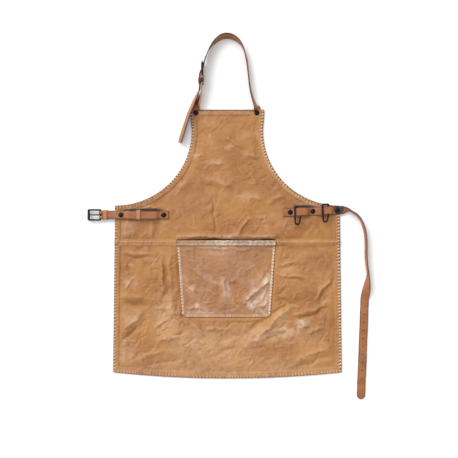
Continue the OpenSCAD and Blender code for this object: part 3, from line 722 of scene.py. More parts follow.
# rubbed or darkened patches: x, y, half sizes, amount; a negative amount is darker
patches = [
    (-31, 163, 24, 12, 0.35), (-48, 283, 22, 9, 0.3), (55, 60, 32, 14, 0.25), (-94, 186, 14, 5, 0.4),
    (5, 210, 26, 7, 0.3), (5, -54, 26, 6, 0.4), (-296, -28, 18, 24, 0.35), (-190, -12, 14, 6, 0.3),
    (-222, -132, 18, 18, 0.22), (-288, -141, 5, 5, 0.5), (-288, -193, 20, 18, 0.4), (-185, -290, 36, 60, 0.45),
    (-283, -300, 42, 26, 0.4), (-300, -400, 30, 40, 0.3), (-120, -380, 60, 40, 0.22), (170, -150, 30, 12, 0.2),
    (226, -316, 17, 13, 1.0), (-235, -30, 90, 34, -0.09), (225, -160, 80, 60, 0.1), (-20, 110, 60, 16, 0.12),
    (70, 250, 40, 9, 0.12), (250, -350, 90, 60, 0.16), (0, -458, 330, 13, 0.16), (-60, 40, 50, 14, 0.1),
    (130, 0, 50, 12, 0.1), (300, -200, 24, 60, 0.08), (20, 270, 60, 40, -0.05), (180, 60, 90, 50, -0.06),
    (-70, -390, 90, 30, 0.12), (-250, -250, 60, 20, -0.1), (120, -350, 90, 22, 0.22), (174, -335, 6, 5, 0.8),
    (156, -295, 24, 30, 0.34), (180, -340, 45, 16, 0.35),
    (300, -250, 20, 10, 0.2), (0, -440, 330, 34, 0.28), (0, -360, 170, 50, 0.28), (280, -350, 25, 14, -0.16),
    (-280, -255, 44, 8, -0.14), (-213, -113, 60, 4, -0.1), (331, 26, 15, 18, -1.0), (250, 44, 70, 9, -0.1),
    (-110, 290, 14, 40, -0.08), (300, 10, 60, 40, -0.1), (-280, 40, 60, 12, -0.1),
]
pocketPatches = [
    (-30, -100, 48, 13, 0.35), (-3, -217, 11, 34, 0.5), (120, -187, 15, 11, 0.9), (90, -244, 34, 28, 0.6),
    (64, -262, 10, 11, 0.9), (-112, -212, 14, 10, 0.4), (-92, -266, 12, 8, 0.7), (-64, -282, 56, 8, 0.5),
    (118, -230, 14, 48, 0.35), (56, -205, 34, 12, -0.12), (20, -130, 60, 20, 0.14), (108, -284, 26, 8, 0.5),
]


def patchMarks(x, y, spots):
    bendX, bendY = x + 9 * drift(x, y, 22, 81), y + 9 * drift(x, y, 22, 82)
    wear, grime = np.zeros_like(x), np.zeros_like(x)
    for middleX, middleY, halfX, halfY, amount in spots:
        share = np.exp(-(((bendX - middleX) / halfX) ** 2 + ((bendY - middleY) / halfY) ** 2) ** 1.4)
        if amount > 0:
            wear += amount * share
        else:
            grime -= amount * share
    return wear, grime


# where straps and rivets hold the canvas down: x, y, half sizes
calmZones = [(-252, 8, 82, 13), (262, 19, 84, 18), (-94, 313, 10, 12), (88, 313, 10, 12)]
# painted shade in the gaps above the bowed waist straps: from x, to x, y, half height, amount
strapGapShade = [(-312, -192, 22.6, 3.4, 1.0), (198, 262, 33.4, 3.2, 0.9)]


def openCloth(x, y):
    # 1 where the canvas lies free, 0 where straps and rivets hold it
    free = np.ones_like(x)
    for middleX, middleY, halfX, halfY in calmZones:
        away = np.hypot(np.maximum(np.abs(x - middleX) - halfX, 0),
                        np.maximum(np.abs(y - middleY) - halfY, 0))
        free *= ease(away, 0, 14)
    return free


def gapShade(x, y, x0, x1, middleY, half):
    # a band of painted shade, widest in its middle
    t = np.clip((x - x0) / (x1 - x0), 0, 1)
    reach = half * np.sin(np.pi * t) ** 0.6 + 0.01
    return ease(np.abs(y - middleY), reach + 1.6, reach) * ((x > x0) & (x < x1))


def ropeWave(along, distance):
    slow = 1.6 * np.sin(along / 61) + 0.9 * np.sin(along / 23 + 1)
    return np.sin(2 * np.pi * along / canvas["ropePitch"] + slow + 0.16 * distance)


def shapeEdge(distance, along, kind):
    # the turned edge: its lift, rubbed crests, and painted shade in its hollows and along its rim
    strength = ropeByKind[kind]
    wave = ropeWave(along, distance)
    crest = np.maximum(wave, 0)
    hollow = np.maximum(-wave, 0)
    band = np.exp(-((distance - 3.2) / 4.2) ** 2)
    second = np.exp(-((distance - 8.5) / 3) ** 2)
    lift = canvas["rope"] * strength * (wave * band + 0.35 * second * np.sin(
        2 * np.pi * along / canvas["ropePitch"] + 2.2))
    wear = strength * (1.1 * crest ** 0.8 * np.exp(-((distance - 4.2) / 3) ** 2) + 0.3 * second * crest)
    # painted shade in the hollows of the puckers and along the very edge
    grime = strength * (1.25 * hollow ** 0.8 * np.exp(-(distance / 4.4) ** 2)
                        + 0.5 * np.exp(-(distance / 1.3) ** 2))
    return lift, wear, grime


def bell(value, middle, width):
    return np.exp(-((value - middle) / width) ** 2)


def shapeBody(x, y, distance, along, kind, waistEase):
    # what the bib and the skirt share; waistEase fades the creases out toward the waist seam
    hemmed = np.isin(kind, hemKinds)
    hem = hemmed * ease(distance, canvas["hemWidth"] + 3.5, canvas["hemWidth"] - 0.3)
    free = openCloth(x, y)
    bare = 1 - pocketZone(x, y)
    fold, rub = foldLift(x, y, bodyCreases, 30)
    broad = canvas["broad"] * (0.45 + layeredNoise(x, y, 130, 3, 3)) + 0.5 * layeredNoise(x, y, 34, 2, 12)
    rise = np.maximum(broad, 0) ** 0.9 + fold + 0.9
    rise = rise * ease(distance, 13, 40) * free * bare
    rise = np.maximum(rise, -0.9) + 0.25 * rub * bare
    rise *= ease(y, *waistEase)
    z = canvas["openTop"] + (canvas["hemTop"] - canvas["openTop"]) * np.maximum(hem, 1 - free) + rise
    edgeLift, wear, grime = shapeEdge(distance, along, kind)
    patchWear, patchDarkening = patchMarks(x, y, patches)
    wear = wear + 0.22 * rub * bare + patchWear * bare
    grime = grime + patchDarkening
    z = z + edgeLift
    # the hem's rounded lip, its stitched groove and the step at its inner edge, with painted shade along the step
    z -= hemmed * 0.55 * ease(distance, 1.4, 0)
    z -= hemmed * 0.3 * bell(distance, 11, 1.1)
    wear += hemmed * 0.05 * ease(distance, 17, 14)
    grime = grime + hemmed * 0.1 * bell(distance, 16, 1.6)
    return z, wear, grime


def skirtShape(x, y, distance, along, kind):
    z, wear, grime = shapeBody(x, y, distance, along, kind, (lapY - 3, lapY - 34))
    return z, np.clip(wear, 0, 1), np.clip(grime, 0, 1)


def bibShape(x, y, distance, along, kind):
    z, wear, grime = shapeBody(x, y, distance, along, kind, (seamY - 2, seamY + 12))
    # the lip behind the pocket's mouth
    mouth = ease(np.abs(x - pocket["centre"]), pocket["mouthHalf"] + 3, pocket["mouthHalf"] - 3)
    lip = mouth * np.exp(-((y - seamY - 12) / 6) ** 2)
    z += 1.6 * lip * (1.2 + layeredNoise(x, y * 0.2, 40, 2, 71))
    wear += 0.3 * lip
    # the lap over the skirt, drawn in by its stitches
    lap = ease(y, seamY + 5, seamY - 1)
    pull = np.sin(2 * np.pi * x / 13 + 2 * np.sin(x / 37))
    lap *= 1 - 0.72 * ease(y, lapY + 8, lapY + 0.5) * (1 - mouth)
    z += canvas["lapLift"] * lap + 0.14 * lap * pull * (1 - mouth)
    for lineY, amount in ((seamY - 2.2, 0.65), (lapY + 4.6, 0.55 * (x < 0))):
        wear += amount * (bell(y, lineY, 1.9) * (1 - mouth)) * (0.75 + 0.25 * pull)
    # the hollow under the pocket's mouth, and painted shade where the mouth gapes
    groove = mouth * ease(y, seamY + 7, seamY + 1.5) * ease(y, seamY - 9, seamY - 4)
    z -= groove * (z - 2.1) * 0.9
    gape = pocketGape(x)
    grime += mouth * ease(y, seamY + 4 + 4.6 * gape, seamY + 1.2 + 3.4 * gape)
    # painted shade in the gaps above the bowed waist straps
    grime += sum(amount * gapShade(x, y, *place) for *place, amount in strapGapShade)
    # rubbed armhole, and the dark rim and ridge along the top
    wear += 0.4 * bell(distance, 9, 2.4) * (kind == armholeEdge) * ease(x, 60, 120) * ease(x, 290, 250)
    rimLine = ease(y, canvas["topY"] - 5.5, canvas["topY"] - 3) * ease(np.abs(x + 4), 90, 80)
    grime += 0.62 * rimLine
    wear += 0.35 * np.exp(-((y - canvas["topY"] + 11) / 3.4) ** 2) * ease(np.abs(x + 4), 92, 80)
    z = z + 1.4 * np.exp(-((y - canvas["topY"] + 7) / 5) ** 2) * (np.abs(x) < 70) * ease(distance, 0, 4)
    return z, np.clip(wear, 0, 1), np.clip(grime, 0, 1)


def pocketGape(x):
    # how far the mouth stands open, 0 to 1
    return np.exp(-((x + 46) / 42) ** 2) + 0.75 * np.exp(-((x - 122) / 20) ** 2) + 0.12


def pocketHalf(y):
    return np.interp(y, [pocket["footY"], pocket["mouthY"]], [pocket["footHalf"], pocket["mouthHalf"]])


def pocketZone(x, y):
    sideways = ease(np.abs(x - pocket["centre"]) - pocketHalf(y), 9, 0)
    return sideways * ease(y, pocket["footY"] - 9, pocket["footY"]) * ease(
        y, pocket["mouthY"] + 4, pocket["mouthY"] - 4)


def coverCloth(name, node, cloth, rings, material, wobble=0.5, uvShift=(0, 0)):
    # the cloth's top, its underside and the rim between them
    flat, faces = flatMesh(cloth, rings)
    distance, along, kind, nearest = measureEdge(flat, cloth)
    z, wear, grime = cloth["shape"](flat[:, 0], flat[:, 1], distance, along, kind)
    push = wobble * ropeByKind[kind] * ropeWave(along, 0) * np.exp(-distance / 4)
    top = np.column_stack([flat - cloth["normals"][nearest] * push[:, None], z])
    count = len(top)
    sides = [(a, b) for face in faces for a, b in zip(face, face[1:] + face[:1])]
    known = set(sides)
    rim = [[b, a, a + count, b + count] for a, b in sides if (b, a) not in known]
    under = [[i + count for i in reversed(face)] for face in faces]
    faces = faces + under + rim
    corners = np.concatenate([np.array(face) for face in faces])
    places = (np.concatenate([flat, flat])[corners] + uvShift) * mm
    marks = {"wear": np.concatenate([wear, wear * 0]), "grime": np.concatenate([grime, grime * 0])}
    points = np.concatenate([top, top - (0, 0, canvas["thickness"])])
    piece = makeMesh(name, points, faces, places, marks, material)
    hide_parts(node)
    return piece


edgeRings = (0.8, 1.8, 3.2, 4.8, 6.6, 8.6, 10.2, 11.0, 11.9, 13.4, 14.8, 16.0, 17.4, 19.2)
armTop, armFoot = canvas["armholeTop"], canvas["armholeFoot"]
topY, seamY, lapY = canvas["topY"], canvas["seamY"], canvas["lapY"]


def acrossAt(y):
    # from the right edge to the left one
    return [[bodyHalfWidth(y), y], [-bodyHalfWidth(y), y]]


def bottomPoints():
    x = np.linspace(-canvas["cornerHalf"], canvas["cornerHalf"], 90)
    return np.stack([x, canvas["cornerY"] - canvas["bow"] * (1 - (x / canvas["cornerHalf"]) ** 2)], 1)


bibSides = [(armTop, topY, sideEdge), (armFoot, armTop, armholeEdge), (lapY, armFoot, sideEdge)]
bib = cutCloth(
    [([[canvas["topHalf"], topY], [-canvas["topHalf"], topY]], topEdge)]
    + [(edgePart(low, high, -1), kind) for low, high, kind in bibSides]
    + [(acrossAt(lapY)[::-1], lapEdge)]
    + [(edgePart(low, high, 1)[::-1], kind) for low, high, kind in bibSides[::-1]], bibShape)
skirt = cutCloth([
    (acrossAt(seamY), plainEdge), (edgePart(canvas["cornerY"], seamY, -1), sideEdge),
    (bottomPoints(), bottomEdge), (edgePart(canvas["cornerY"], seamY, 1)[::-1], sideEdge)], skirtShape)
bibPanel = coverCloth("bibPanel", "bib_panel", bib, edgeRings, waxedCanvas)
skirtPanel = coverCloth("skirtPanel", "skirt_panel", skirt, edgeRings, waxedCanvas, uvShift=(37, 911))
print("bib and skirt are laid out")


# pocket, with a mouth that stands open

def groundTop(x, y):
    # top of the seam or skirt under the pocket
    lap = ease(y, lapY - 2.5, lapY + 1)
    return canvas["openTop"] + lap * (canvas["lapLift"] + 0.3) + 0.25


def pocketShape(x, y, distance, along, kind):
    inside = np.minimum(pocketHalf(y) - np.abs(x - pocket["centre"]), y - pocket["footY"])
    full = ease(inside, 6, 46)
    fold, rub = foldLift(x, y, pocketCreases, 50)
    slack = ease(inside, 3, 26)
    swell = pocket["bulge"] * full * (0.75 + 0.6 * layeredNoise(x, y, 90, 3, 21)) + fold * slack * 0.9
    gape = (1.6 + 3.4 * pocketGape(x)) * np.exp(-(pocket["mouthY"] - y) / 16) * ease(inside, 1, 20)
    z = groundTop(x, y) + canvas["thickness"] + np.maximum(swell, -0.1) + gape
    sewn = kind != mouthEdge
    edgeLift, wear, grime = shapeEdge(distance + 1.5, along, np.where(sewn, kind, plainEdge))
    z = z + np.maximum(edgeLift, -0.2) + 0.2 * rub
    z = z + 0.8 * bell(distance, 3.4, 2.4) * sewn
    patchWear, patchDarkening = patchMarks(x, y, pocketPatches)
    wear = wear + 0.3 * rub + 0.2 * sewn * ease(distance, 9, 5) + patchWear
    # painted shade from the turned edge at half strength, a darker line 9.5 mm in, darker patches, and painted shade
    # along the sewn rim
    grime = grime * 0.5 + 0.2 * sewn * bell(distance, 9.5, 1.1) + patchDarkening
    grime = grime + 0.55 * sewn * ease(distance, 1.3, 0)
    return z, np.clip(wear, 0, 1), np.clip(grime, 0, 1)


middle, half, foot = pocket["centre"], pocket["mouthHalf"], pocket["footHalf"]
mouthY, footY, chamfer = pocket["mouthY"], pocket["footY"], pocket["chamfer"]
topLeft, topRight = [middle - half, mouthY], [middle + half, mouthY]
footLeft = [[middle - foot - 0.5, footY + chamfer], [middle - foot + chamfer, footY]]
footRight = [[middle + foot - chamfer, footY], [middle + foot + 0.5, footY + chamfer]]
pouch = cutCloth([
    ([topRight, topLeft], mouthEdge), ([topLeft, footLeft[0]], pocketSide), (footLeft, pocketFoot),
    ([footLeft[1], footRight[0]], pocketFoot), (footRight, pocketFoot),
    ([footRight[1], topRight], pocketSide)], pocketShape)
pocketPanel = coverCloth("pocketFront", "pocket_front", pouch, (0.9, 2, 3.4, 5, 7, 9, 11), pocketCanvas,
                         0.35, (-451, 277))


def surfaceHeight(points, cloth):
    distance, along, kind, _ = measureEdge(points, cloth)
    return cloth["shape"](points[:, 0], points[:, 1], distance, along, kind)[0]


def layMouthHem():
    # the worn hem, turned over the pocket's mouth; reach, height over the pocket and under side of each row
    rows, proud, below = np.array([
        (0.9, -1.5, -1.9), (0.2, 0.5, -1.7), (-0.5, 1.1, 0.06), (-1.2, 1.4, 0.08), (-2.6, 1.5, 0.1),
        (-4.6, 1.5, 0.1), (-6.8, 1.45, 0.1), (-9, 1.5, 0.1), (-11.2, 1.5, 0.1), (-13, 1.35, 0.1),
        (-14.1, 0.9, 0.1)]).T
    columns = np.linspace(-half + 0.4, half - 0.4, 150)
    grid = np.array([[(middle + x * (1 - 0.0004 * -r), mouthY + r) for x in columns] for r in rows])
    inside = grid.reshape(-1, 2).copy()
    inside[:, 1] = np.minimum(inside[:, 1], mouthY - 0.1)
    base = surfaceHeight(inside, pouch).reshape(grid.shape[:2])
    x, y = grid[..., 0], grid[..., 1]
    ripple = 0.3 * np.sin(x / 2.3 + 3 * np.sin(x / 31)) * np.exp(-((y - mouthY + 6) / 4) ** 2)
    top = base + proud[:, None] + ripple + 0.25 * layeredNoise(x, y, 18, 2, 44)
    low = base + below[:, None]
    rubbedAway = np.interp(x, [-150, -110, -60, -12, 6, 40, 100, 140, 150],
                           [0.15, 0.2, 0.45, 0.9, 0.9, 0.5, 0.6, 0.95, 1.0])
    wear = rubbedAway * (0.35 + 0.65 * ease(gradientNoise(x / 9, y / 5, 61), -0.3, 0.4))
    wear += 0.4 * np.exp(-((y - mouthY + 12.5) / 1.6) ** 2)
    # dark mottles of dirt on the hem, and painted shade at the step where it ends
    grime = 0.55 * ease(gradientNoise(x / 7, y / 3, 62), 0.15, 0.6) * np.exp(-((y - mouthY + 6.5) / 3) ** 2)
    grime += 0.5 * np.exp(-((y - mouthY + 14) / 0.9) ** 2)
    upper, lower = np.stack([x, y, top], 2), np.stack([x, y, low], 2)
    rings = np.concatenate([upper, lower[::-1]]).transpose(1, 0, 2)
    marks = {"wear": np.concatenate([wear, wear[::-1]]).T.ravel(),
             "grime": np.concatenate([grime, grime[::-1] * 0]).T.ravel()}
    piece = makeMesh("pocketHem", *skin(rings), marks, wornCanvas)
    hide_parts("pocket_hem")
    return piece


pocketHem = layMouthHem()
print("pocket is open")


# turned hems under the canvas edges

hemSection = np.array([
    (-0.5, 2.3), (-0.35, 1.3), (0.3, 0.75), (1.4, 0.6), (5, 0.65), (9, 0.6), (13.2, 0.6), (14.4, 0.85),
    (15, 1.4), (15, 2.1), (14.2, 2.5), (11, 3.0), (6, 3.2), (2, 3.2), (0.4, 3.1), (-0.3, 2.9)])


def layHem(name, node, parts):
    # parts are (cloth, run of its outline)
    pieces = []
    for cloth, run in parts:
        line, inward = cloth["outline"][run], cloth["normals"][run]
        _, along, kind, _ = measureEdge(line, cloth)
        wave = ropeByKind[kind] * ropeWave(along, 0)
        rings = np.empty((len(line), len(hemSection), 3))
        for j, (reach, z) in enumerate(hemSection):
            outerShare = math.exp(-max(reach, 0) / 4)
            rings[:, j, :2] = line + inward * (reach - 0.5 * wave * outerShare)[:, None]
            rings[:, j, 2] = z + 0.25 * wave * outerShare * (1 if z > 2.5 else 0.3)
        pieces.append(skin(rings))
    points, faces, places = joined(pieces)
    # the turned hems are darkened all over as painted shade under the canvas edges
    marks = {"wear": np.full(len(points), 0.1), "grime": np.full(len(points), 0.25)}
    piece = makeMesh(name, points, faces, places, marks, shadedHemCanvas)
    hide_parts(node)
    return piece


def runOf(cloth, test):
    # the outline's points that pass the test, in one unbroken run
    wanted = np.array([test(x, y, k) for (x, y), k in zip(cloth["outline"], cloth["kinds"])])
    start = next((i for i in range(len(wanted)) if wanted[i] and not wanted[i - 1]), 0)
    order = (np.arange(len(wanted)) + start) % len(wanted)
    run = order[wanted[order]]
    return run[:-1] if len(run) > 4 else run


def sideRun(cloth, kinds, side, low, high):
    # side is -1 for the left and 1 for the right; low and high are heights up the apron
    return runOf(cloth, lambda x, y, k: k in kinds and x * side > 0 and low < y < high)


def middleRun(cloth, kind, reach):
    return runOf(cloth, lambda x, y, k: k == kind and abs(x) < reach)


sideOf = {"left": -1, "right": 1}
armKinds, sideKinds = (armholeEdge, sideEdge), (sideEdge,)
hemRuns = {
    "topHem": ("top_hem", [(bib, middleRun(bib, topEdge, 96))]),
    **{word + "ArmholeFacing": (word + "_armhole_facing", [(bib, sideRun(bib, armKinds, side, 50, 306))])
       for word, side in sideOf.items()},
    **{word + "SideHem": (word + "_side_hem", [(bib, sideRun(bib, sideKinds, side, -68, 20)),
                                               (skirt, sideRun(skirt, sideKinds, side, -444, -72))])
       for word, side in sideOf.items()},
    "bottomHem": ("bottom_hem", [(skirt, middleRun(skirt, bottomEdge, 338))]),
}
hems = {name: layHem(name, node, parts) for name, (node, parts) in hemRuns.items()}
print("hems are turned")


# stitching

stitch = {"pitch": 4.6, "length": 3.3, "radius": 0.48, "sides": 6, "inset": 10.5, "whipRadius": 1.0}
threadTurn = np.linspace(0, 2 * np.pi, stitch["sides"], endpoint=False)[:, None]


def threadRing(way, flat=1.0):
    # a ring round a thread that runs along way
    across = np.array([-way[1], way[0], 0])
    return np.cos(threadTurn) * across + flat * np.sin(threadTurn) * (0, 0, 1)


def sewLine(points, cloth):
    # short threads along a line, on top of the cloth
    line = resample(points, stitch["pitch"])
    starts = line[:-1]
    ways = np.diff(line, axis=0)
    ways /= np.linalg.norm(ways, axis=1)[:, None]
    ends = starts + ways * stitch["length"]
    heights = [surfaceHeight(places, cloth) for places in (starts, (starts + ends) / 2, ends)]
    parts = []
    for a, b, way, za, zm, zb in zip(starts, ends, ways, *heights):
        ring = threadRing(way)
        rings = []
        for t, z, share in ((0, za - 0.45, 0.6), (0.22, 0.7 * za + 0.3 * zm + 0.22, 1), (0.5, zm + 0.32, 1.05),
                            (0.78, 0.3 * zm + 0.7 * zb + 0.22, 1), (1, zb - 0.45, 0.6)):
            rings.append(np.array([*(a + (b - a) * t), z]) + stitch["radius"] * share * ring)
        parts.append(skin(rings))
    return parts


def whipLine(cloth, run, reach=(0.4, 5.4), slant=1.3):
    # threads laid across the edge, one on each crest of the turned rim
    outline = cloth["outline"]
    lengths, along = lengthsAlong(outline)
    far = along[run]
    if far[-1] < far[0]:
        far = np.where(far < far[0], far + along[-1] + lengths[-1], far)
    fine = np.linspace(far[0], far[-1], len(far) * 12)
    wave = ropeWave(fine % (along[-1] + lengths[-1]), 2.5)
    tops = fine[1:-1][(wave[1:-1] > wave[:-2]) & (wave[1:-1] >= wave[2:])]
    x, y = (np.interp(tops, far, outline[run, k]) for k in range(2))
    inX, inY = (np.interp(tops, far, cloth["normals"][run, k]) for k in range(2))
    start = np.column_stack([x + inX * reach[0], y + inY * reach[0]])
    end = np.column_stack([x + inX * reach[1] + inY * slant, y + inY * reach[1] - inX * slant])
    # how far along the thread, its share of the full radius, and its height over the cloth
    steps = ((0, 0.7, -0.3), (0.2, 1.0, 0.15), (0.5, 1.15, 0.3), (0.8, 1.0, 0.15), (1, 0.6, -0.4))
    places = [start + (end - start) * t for t, _, _ in steps]
    heights = [surfaceHeight(points, cloth) for points in places]
    parts = []
    for i in range(len(tops)):
        way = end[i] - start[i]
        way /= np.linalg.norm(way)
        ring = threadRing(way, 0.6)
        parts.append(skin([np.array([*points[i], z[i] + lift]) + stitch["whipRadius"] * share * ring
                           for points, z, (_, share, lift) in zip(places, heights, steps)]))
    return parts


def insetLine(cloth, run, reach=stitch["inset"]):
    return (cloth["outline"] + cloth["normals"] * reach)[run], cloth


def sew(name, node, lines, material, whips=()):
    parts = list(whips)
    for points, cloth in lines:
        parts += sewLine(points, cloth)
    piece = makeMesh(name, *joined(parts), None, material)
    if whips:
        piece.data.materials.append(paleThread)
        for face in piece.data.polygons[:sum(len(part[1]) for part in whips)]:
            face.material_index = 1
    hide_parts(node)
    return piece


topRow = topY - 11.5
topLines = [([(-80, topRow), (-4, topRow + 0.4), (73, topRow)], bib)]
bottomLines = [insetLine(skirt, middleRun(skirt, bottomEdge, 328))]
armLines, sideLines, armWhips, sideWhips, pouchWhips = [], [], [], [], []
for side in (-1, 1):
    armLines.append(insetLine(bib, sideRun(bib, armKinds, side, 34, 303)))
    armWhips += whipLine(bib, sideRun(bib, armKinds, side, 95, 318))
    for cloth, low, high in ((bib, -66, -8), (bib, 24, 27), (skirt, -452, -90)):
        run = sideRun(cloth, sideKinds, side, low, high)
        if len(run) > 3:
            sideLines.append(insetLine(cloth, run))
    for cloth, low, high in ((bib, -66, 30), (skirt, -458, -86)):
        sideWhips += whipLine(cloth, sideRun(cloth, sideKinds, side, low, high))
    pouchWhips += whipLine(pouch, sideRun(pouch, (pocketSide,), side, footY - 1, -90), (0.6, 7.5), 4.0)
# the waist seam has a row under the lap's edge, and one more along its foot on the left
seamLines = []
for row, side in ((seamY - 2.6, -1), (seamY - 2.6, 1), (lapY + 5, -1)):
    ends = sorted((middle + side * (half + 4), side * 332))
    seamLines.append(([(ends[0], row), (ends[1], row)], bib))
pouchRuns = [sideRun(pouch, (pocketSide,), side, footY - 1, -86) for side in (-1, 1)]
pouchRuns.append(middleRun(pouch, pocketFoot, 124))
pouchLines = [insetLine(pouch, run, reach) for reach in (3.2, 7.2) for run in pouchRuns]
stitching = [
    sew("topHemStitching", "top_hem_stitching", topLines, seamThread),
    sew("armholeStitching", "armhole_stitching", armLines, seamThread, armWhips),
    sew("sideHemStitching", "side_hem_stitching", sideLines, seamThread, sideWhips),
    sew("bottomHemStitching", "bottom_hem_stitching", bottomLines, seamThread),
    sew("waistSeamStitching", "waist_seam_stitching", seamLines, seamThread),
    sew("pocketStitching", "pocket_stitching", pouchLines, paleThread, pouchWhips),
]
print("seams are sewn")


# leather straps

strap = {"width": 24.5, "thick": 3.0, "holeRadius": 2.0, "foldReach": 3.65}
strapSection = np.array([
    (-1, -0.35), (-0.99, -0.75), (-0.95, -1), (-0.6, -1), (-0.2, -1), (0.2, -1), (0.6, -1), (0.95, -1),
    (0.99, -0.75), (1, -0.35), (1, 0.35), (0.99, 0.75), (0.95, 0.97), (0.84, 1), (0.815, 0.84), (0.79, 1),
    (0.6, 1.03), (0.2, 1.06), (-0.2, 1.06), (-0.6, 1.03), (-0.79, 1), (-0.815, 0.84), (-0.84, 1),
    (-0.95, 0.97), (-0.99, 0.75), (-1, 0.35)])


def leatherMarks(section, count, edgeFrom, edgeOver):
    edge = np.clip((np.abs(section[:, 0]) - edgeFrom) / edgeOver, 0, 1)
    return {"edge": np.tile(edge, count), "back": np.tile((section[:, 1] < -0.9).astype(float), count)}


def strapSkin(spine, across, ends):
    # a rounded band along the spine; ends give how far each end takes to round off
    spine, across = np.asarray(spine, float), np.asarray(across, float)
    along = np.concatenate([[0], np.cumsum(np.linalg.norm(np.diff(spine, axis=0), axis=1))])
    heading = np.gradient(spine, along, axis=0)
    heading /= np.linalg.norm(heading, axis=1)[:, None]
    across = across - (across * heading).sum(1)[:, None] * heading
    across /= np.linalg.norm(across, axis=1)[:, None]
    face = np.cross(heading, across)
    taper = np.ones(len(spine))
    for reach, away in ((ends[0], along), (ends[1], along[-1] - along)):
        if reach:
            t = np.clip(away / reach, 0, 1)
            taper = np.minimum(taper, np.sqrt(np.maximum(1 - (1 - t) ** 2, 0.004)))
    rings = (spine[:, None] + strapSection[None, :, :1] * across[:, None] * (strap["width"] / 2)
             * taper[:, None, None] + strapSection[None, :, 1:] * face[:, None] * strap["thick"] / 2)
    return *skin(rings), leatherMarks(strapSection, len(spine), 0.78, 0.14)


def endSteps(line, reach):
    # extra points near a rounded end
    run = np.concatenate([[0], np.cumsum(np.linalg.norm(np.diff(line, axis=0), axis=1))])
    extra = run[-1] - reach * (1 - np.sin(np.linspace(0, np.pi / 2, 10)))
    wanted = np.unique(np.concatenate([run[run < run[-1] - reach], extra]))
    return np.stack([np.interp(wanted, run, line[:, k]) for k in range(line.shape[1])], 1)


def routeFrames(route, spacing=3.0, roundEnd=0):
    # spine and across vectors from x, y, lower edge height and turn on edge
    line = resample(smoothLine(route, 8), spacing)
    if roundEnd:
        line = endSteps(line, roundEnd)
    turn = np.radians(line[:, 3])
    heading = np.gradient(line[:, :2], axis=0)
    heading /= np.linalg.norm(heading, axis=1)[:, None]
    side = np.column_stack([-heading[:, 1], heading[:, 0], np.zeros(len(line))])
    halfHeight = (strap["width"] * np.abs(np.sin(turn)) + strap["thick"] * np.abs(np.cos(turn))) / 2
    spine = np.column_stack([line[:, :2], np.maximum(line[:, 2], 0.05) + halfHeight])
    across = np.cos(turn)[:, None] * side + np.sin(turn)[:, None] * (0, 0, 1)
    return spine, across


def makeStrap(name, nodes, spine, across, cutters, ends=(0, 0), rawEdge=False, darkMarksAndShade=(), backTone=1.0):
    points, faces, places, marks = strapSkin(spine, across, ends)
    marks["back"] = marks["back"] * backTone
    if rawEdge:
        marks["back"] = np.maximum(marks["back"], marks["edge"])
        marks["edge"] = marks["edge"] * 0
    piece = makeMesh(name, points, faces, places, marks, strapLeather)
    carve(piece, cutters)
    # dark marks and painted shade, given as spots: x, y, half sizes, amount
    if darkMarksAndShade:
        where = np.array([vertex.co[:] for vertex in piece.data.vertices]) / mm
        markedAndShaded = np.zeros(len(where))
        for x, y, halfX, halfY, amount in darkMarksAndShade:
            away = np.hypot((where[:, 0] - x) / halfX, (where[:, 1] - y) / halfY)
            markedAndShaded = np.maximum(markedAndShaded, amount * ease(away, 1.2, 0.85))
        layer = piece.data.attributes.new("darkMarkAndShade", "FLOAT", "POINT")
        layer.data.foreach_set("value", markedAndShaded.astype(np.float32))
    piece.data.shade_smooth()
    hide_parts(*nodes)
    return piece


buckleY, buckleX, buckleZ = 8.0, -378.0, 8.2
slotCut = boxCutter((buckleX - 6, buckleY - 2.7, -2), (buckleX + 6.5, buckleY + 2.7, 20))


def layLeftStrap():
    side = [(-175, 6.75), (-184, 6.75), (-196, 6.75), (-203, 8.6), (-211, 13.4), (-218, 14.7), (-250, 14.9),
            (-286, 14.7), (-293, 13.5), (-301, 10.5), (-309, 9.95), (-325, 9.95), (-350, 9.95), (-366, 10.3)]
    reach = strap["foldReach"]
    fold = [(buckleX + reach * 1.02 * math.cos(a), buckleZ + reach * 1.02 * math.sin(a))
            for a in np.radians([100, 125, 150, 180, 210, 235, 260])]
    back = [(-372, 5.3), (-366, 6.1), (-350, 6.6), (-320, 6.62), (-306, 6.62)]
    profile = smoothLine(side + [(-373, 11.4)] + fold + back, 6)
    profile = resample(profile, 1.6)
    spine = np.column_stack([profile[:, 0], np.full(len(profile), buckleY), profile[:, 1]])
    sway = 0.8 * np.sin((spine[:, 0] + 178) / 46) * ease(spine[:, 0], -300, -240)
    spine[:, 1] += sway * ease(spine[:, 0], -178, -200)
    across = np.tile((0.0, -1.0, 0.0), (len(spine), 1))
    cutters = [slotCut] + [roundBar((x, buckleY, 8), (0, 0, 1), strap["holeRadius"], 30) for x in (-317, -190)]
    return makeStrap("leftWaistStrap", ["left_waist_strap"], spine, across, cutters)


leftWaistStrap = layLeftStrap()

rightStart, rightLean = np.array([188.0, 16.0]), math.radians(2.45)
rightWay = np.array([math.cos(rightLean), math.sin(rightLean)])
rightAcross = np.array([-rightWay[1], rightWay[0]])


# ring is the reach of the painted shade round each tail hole
tailHoles = {"count": 10, "pitch": 24, "fromTip": 62, "radius": 1.9, "ring": 2.2}


def onRightStrap(x, y=0.0):
    return rightStart + rightWay * x + rightAcross * y


